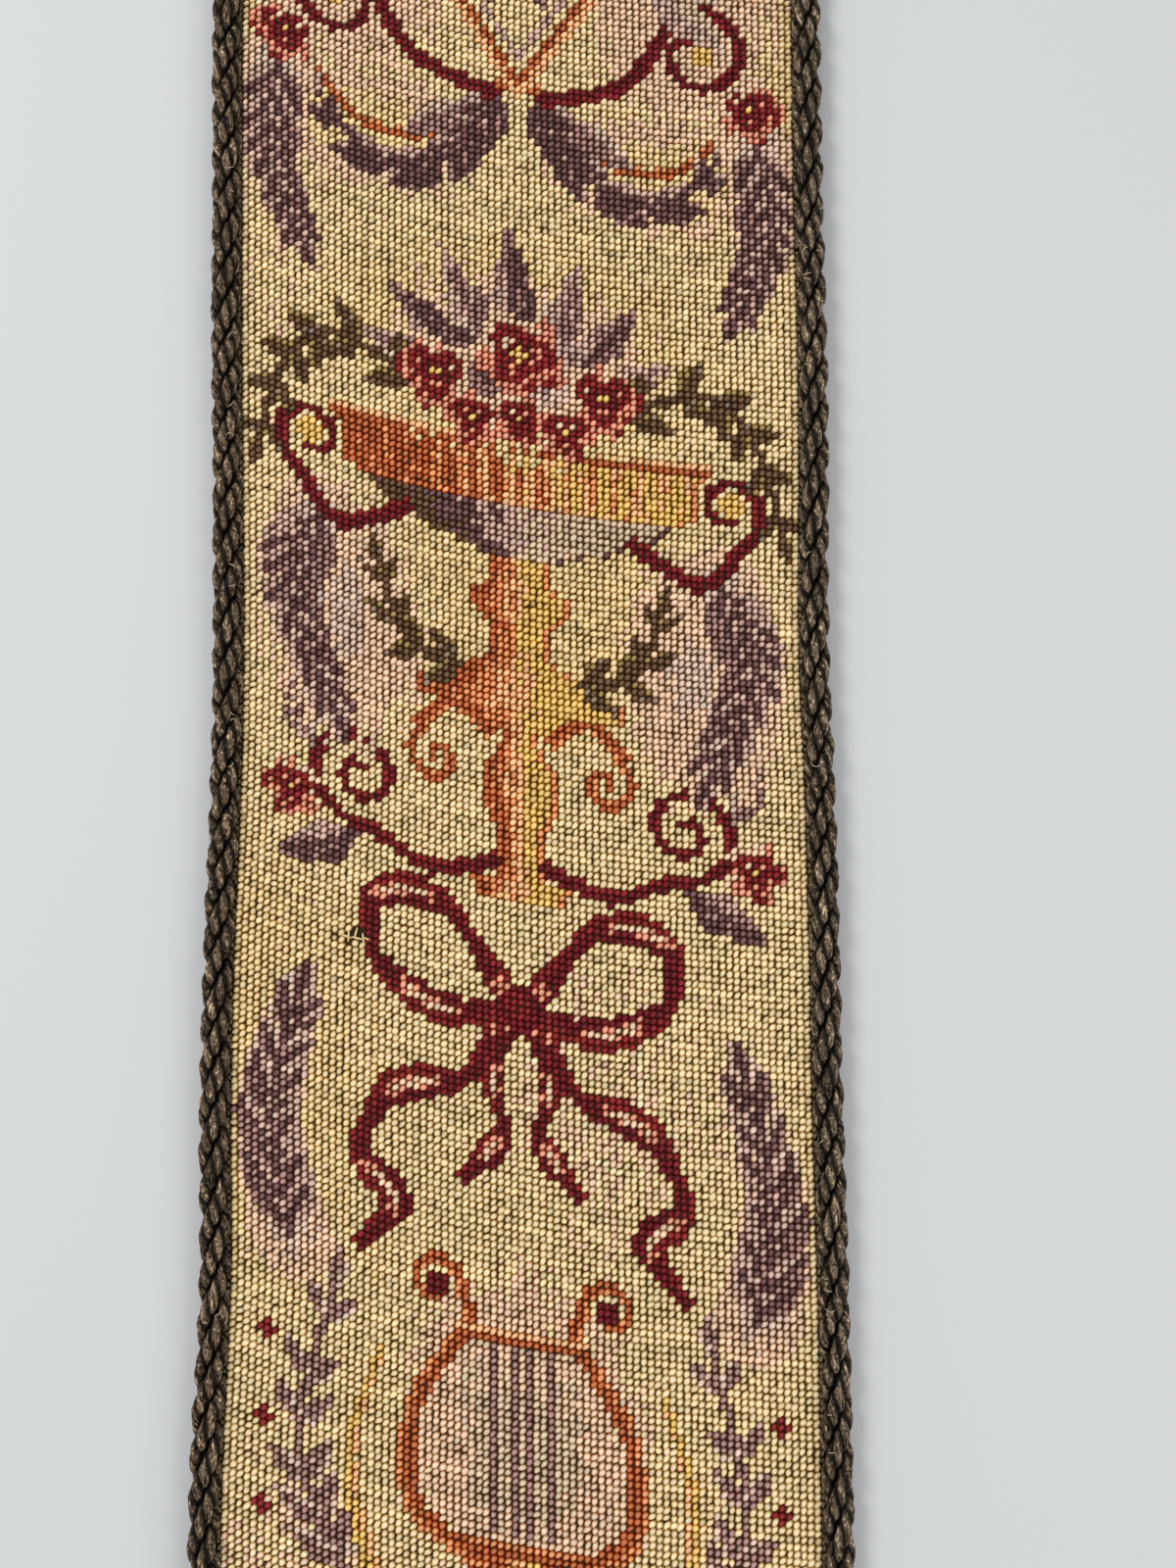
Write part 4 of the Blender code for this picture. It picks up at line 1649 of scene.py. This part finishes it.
def strip_map(piece, sides):
    """A map that cuts a long tube into equal lengths and stacks them to fill the baked picture."""
    vertex = read_all(piece.data.loops, "vertex_index", np.int32)
    station, corner = vertex // sides, vertex % sides
    starts = read_all(piece.data.polygons, "loop_start", np.int32)
    sizes = read_all(piece.data.polygons, "loop_total", np.int32)
    face = np.repeat(np.arange(len(sizes)), sizes)
    first = np.minimum.reduceat(station, starts)[face]
    wraps = (np.maximum.reduceat(corner, starts) - np.minimum.reduceat(corner, starts))[face] == sides - 1
    corner = np.where(wraps & (corner == 0), sides, corner)
    length = math.ceil((vertex.max() // sides) / BAKE_STRIPS)
    strip = first // length
    u = (station - strip * length) / length
    v = (strip + STRIP_MARGIN + (1 - 2 * STRIP_MARGIN) * corner / sides) / BAKE_STRIPS
    bake_layer(piece, np.stack([u, v], axis=-1))


cords = {}
for cord in CORDS:
    name = cord["name"]
    piece = grow(name + "_laid", cord_line(cord), CORD, {
        "Radius": CORD_RADIUS, "Lay": cord["lay"], "Sides": CORD_SIDES,
        "Yarn": cord_material(name + "_yarn", YARN_SCREEN[name])})
    strip_map(piece, CORD_SIDES)
    cords[name] = piece
    print(piece.name, 2 * len(piece.data.polygons), "triangles")
    print("its size, mm", [round(v / MM, 1) for v in piece.dimensions])

# %% [markdown]
# Loose hairs of pale wool stand out from the folded edges and lie up over the flanks of the cords. A hair
# system could grow them, but they are so few and so fine that short curved tubes cost nothing.

# %% Loose hairs at the folded edges
HAIR_SEED = 11
HAIR_THICK = 0.09 * MM
HAIR_SIDES = 4
HAIR_POINTS = 6
HAIR_LIFT = 0.15 * MM
HAIRS_A_SIDE = 26
HAIR_LENGTHS = (1.0 * MM, 2.6 * MM)
HAIR_LEAN = 1.1
HAIR_SWAY = 0.35

# Where hairs root: this share of the strip's length, and this many columns in from the fold
HAIR_SHARE = 0.97
HAIR_ROOT = 0.7


def hair_lines():
    """Short curved lines from the folded edges up over the cords."""
    hand = np.random.default_rng(HAIR_SEED)
    t = np.linspace(0, 1, HAIR_POINTS)
    lines = []
    for cord in CORDS:
        side = cord["side"]
        for place in hand.uniform(-HAIR_SHARE * HALF_LENGTH, HAIR_SHARE * HALF_LENGTH, HAIRS_A_SIDE):
            x, y, z, _, _ = on_strip(np.array(side * (FOLD_COLUMNS - HAIR_ROOT)), np.array(place))
            lean = hand.uniform(-HAIR_LEAN, HAIR_LEAN)
            length = hand.uniform(*HAIR_LENGTHS)
            sway = hand.uniform(-HAIR_SWAY, HAIR_SWAY) * np.sin(math.pi * t)
            out = x + side * length * (math.cos(lean) * t - math.sin(lean) * sway)
            along = y + length * (math.sin(lean) * t + math.cos(lean) * sway)
            short = np.abs(out - cord_middle(cord, along))
            crown = CORD_RADIUS + np.sqrt(np.maximum(CORD_RADIUS ** 2 - short ** 2, 0))
            height = np.where(short < CORD_RADIUS, np.maximum(crown, z), z) + HAIR_LIFT
            lines.append(np.stack([out, along, height], axis=-1))
    return lines


HAIR = pale_material("loose_wool_hair", (206, 184, 146), (238, 220, 184))
hairs = tubes("loose_hairs", hair_lines(), HAIR_THICK, HAIR_SIDES, HAIR)
print("loose hairs", 2 * HAIRS_A_SIDE, "faces", len(hairs.data.polygons))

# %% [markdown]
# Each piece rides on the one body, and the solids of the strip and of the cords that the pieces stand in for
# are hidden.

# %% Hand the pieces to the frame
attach(canvas, "root")
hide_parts("needlepoint_panel")
for piece in [*stitched, bare, hairs]:
    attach(piece, "root")
for name, piece in cords.items():
    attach(piece, "root")
    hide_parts(name)

# %% [markdown]
# The strip lies on a plain pale floor. A broad soft light stands at the upper left, as by a window, with a
# weak one opposite to open the shadows. Discs of light are used, because a small lamp would draw hard
# shadows beside the cords.

# %% Floor and light
FLOOR_SIZE = 12.0
FLOOR_DROP = 0.2 * MM
FLOOR_TONE = (0.62, 0.63, 0.63, 1)
ROOM_TONE = (0.95, 0.97, 1.0, 1)
ROOM_STRENGTH = 0.55
LIGHTS = [
    {"name": "window", "place": (-0.95, 0.45, 1.2), "size": 0.7, "power": 13.5},
    {"name": "fill", "place": (1.05, -0.5, 1.0), "size": 1.0, "power": 7.5},
]


def make_floor():
    bpy.ops.mesh.primitive_plane_add(size=FLOOR_SIZE, location=(0, 0, -FLOOR_DROP))
    floor = bpy.context.object
    floor.name = "floor"
    material, _, shader = new_material("pale_floor", roughness=0.9, sheen=0.0)
    shader.inputs["Base Color"].default_value = FLOOR_TONE
    floor.data.materials.append(material)


def area_light(name, place, size, power):
    """A disc of light that looks at the middle of the strip."""
    data = bpy.data.lights.new(name, "AREA")
    data.shape = "DISK"
    data.size = size
    data.energy = power
    light = placed(name, data)
    light.location = place
    light.rotation_euler = (-Vector(place)).to_track_quat("-Z", "Y").to_euler()


def soft_room():
    """The even light of a pale room."""
    world = bpy.data.worlds.new("soft_room")
    bpy.context.scene.world = world
    world.use_nodes = True
    sky = world.node_tree.nodes["Background"].inputs
    sky["Color"].default_value = ROOM_TONE
    sky["Strength"].default_value = ROOM_STRENGTH
    bpy.context.scene.view_settings.view_transform = "Standard"


make_floor()
for light in LIGHTS:
    area_light(**light)
soft_room()
print("lights", len(LIGHTS), "power", sum(light["power"] for light in LIGHTS))

# %% [markdown]
# The strip is seen from almost straight above and from near by, so that both its ends leave the picture and
# the stitches can be counted. The camera is placed by its distance, tilt and roll about one aim on the floor.

# %% Camera
VIEW_DISTANCE = 0.3693
VIEW_TILT = math.radians(4.93)
VIEW_ROLL = math.radians(-0.45)
VIEW_CENTRE = Vector((0.0181, -0.0065, 0.0))
LENS_MM = 31.5
NEAREST_SEEN = 0.01


def make_camera():
    data = bpy.data.cameras.new("camera")
    data.lens = LENS_MM
    data.clip_start = NEAREST_SEEN
    camera = placed("camera", data)
    back = Vector((0, -math.sin(VIEW_TILT), math.cos(VIEW_TILT)))
    camera.location = VIEW_CENTRE + back * VIEW_DISTANCE
    camera.rotation_mode = "QUATERNION"
    aim = (-back).to_track_quat("-Z", "Y")
    camera.rotation_quaternion = aim @ Matrix.Rotation(VIEW_ROLL, 3, "Z").to_quaternion()
    bpy.context.scene.camera = camera


make_camera()
print("camera", VIEW_DISTANCE, "m off,", round(math.degrees(VIEW_TILT), 2), "degrees from upright")
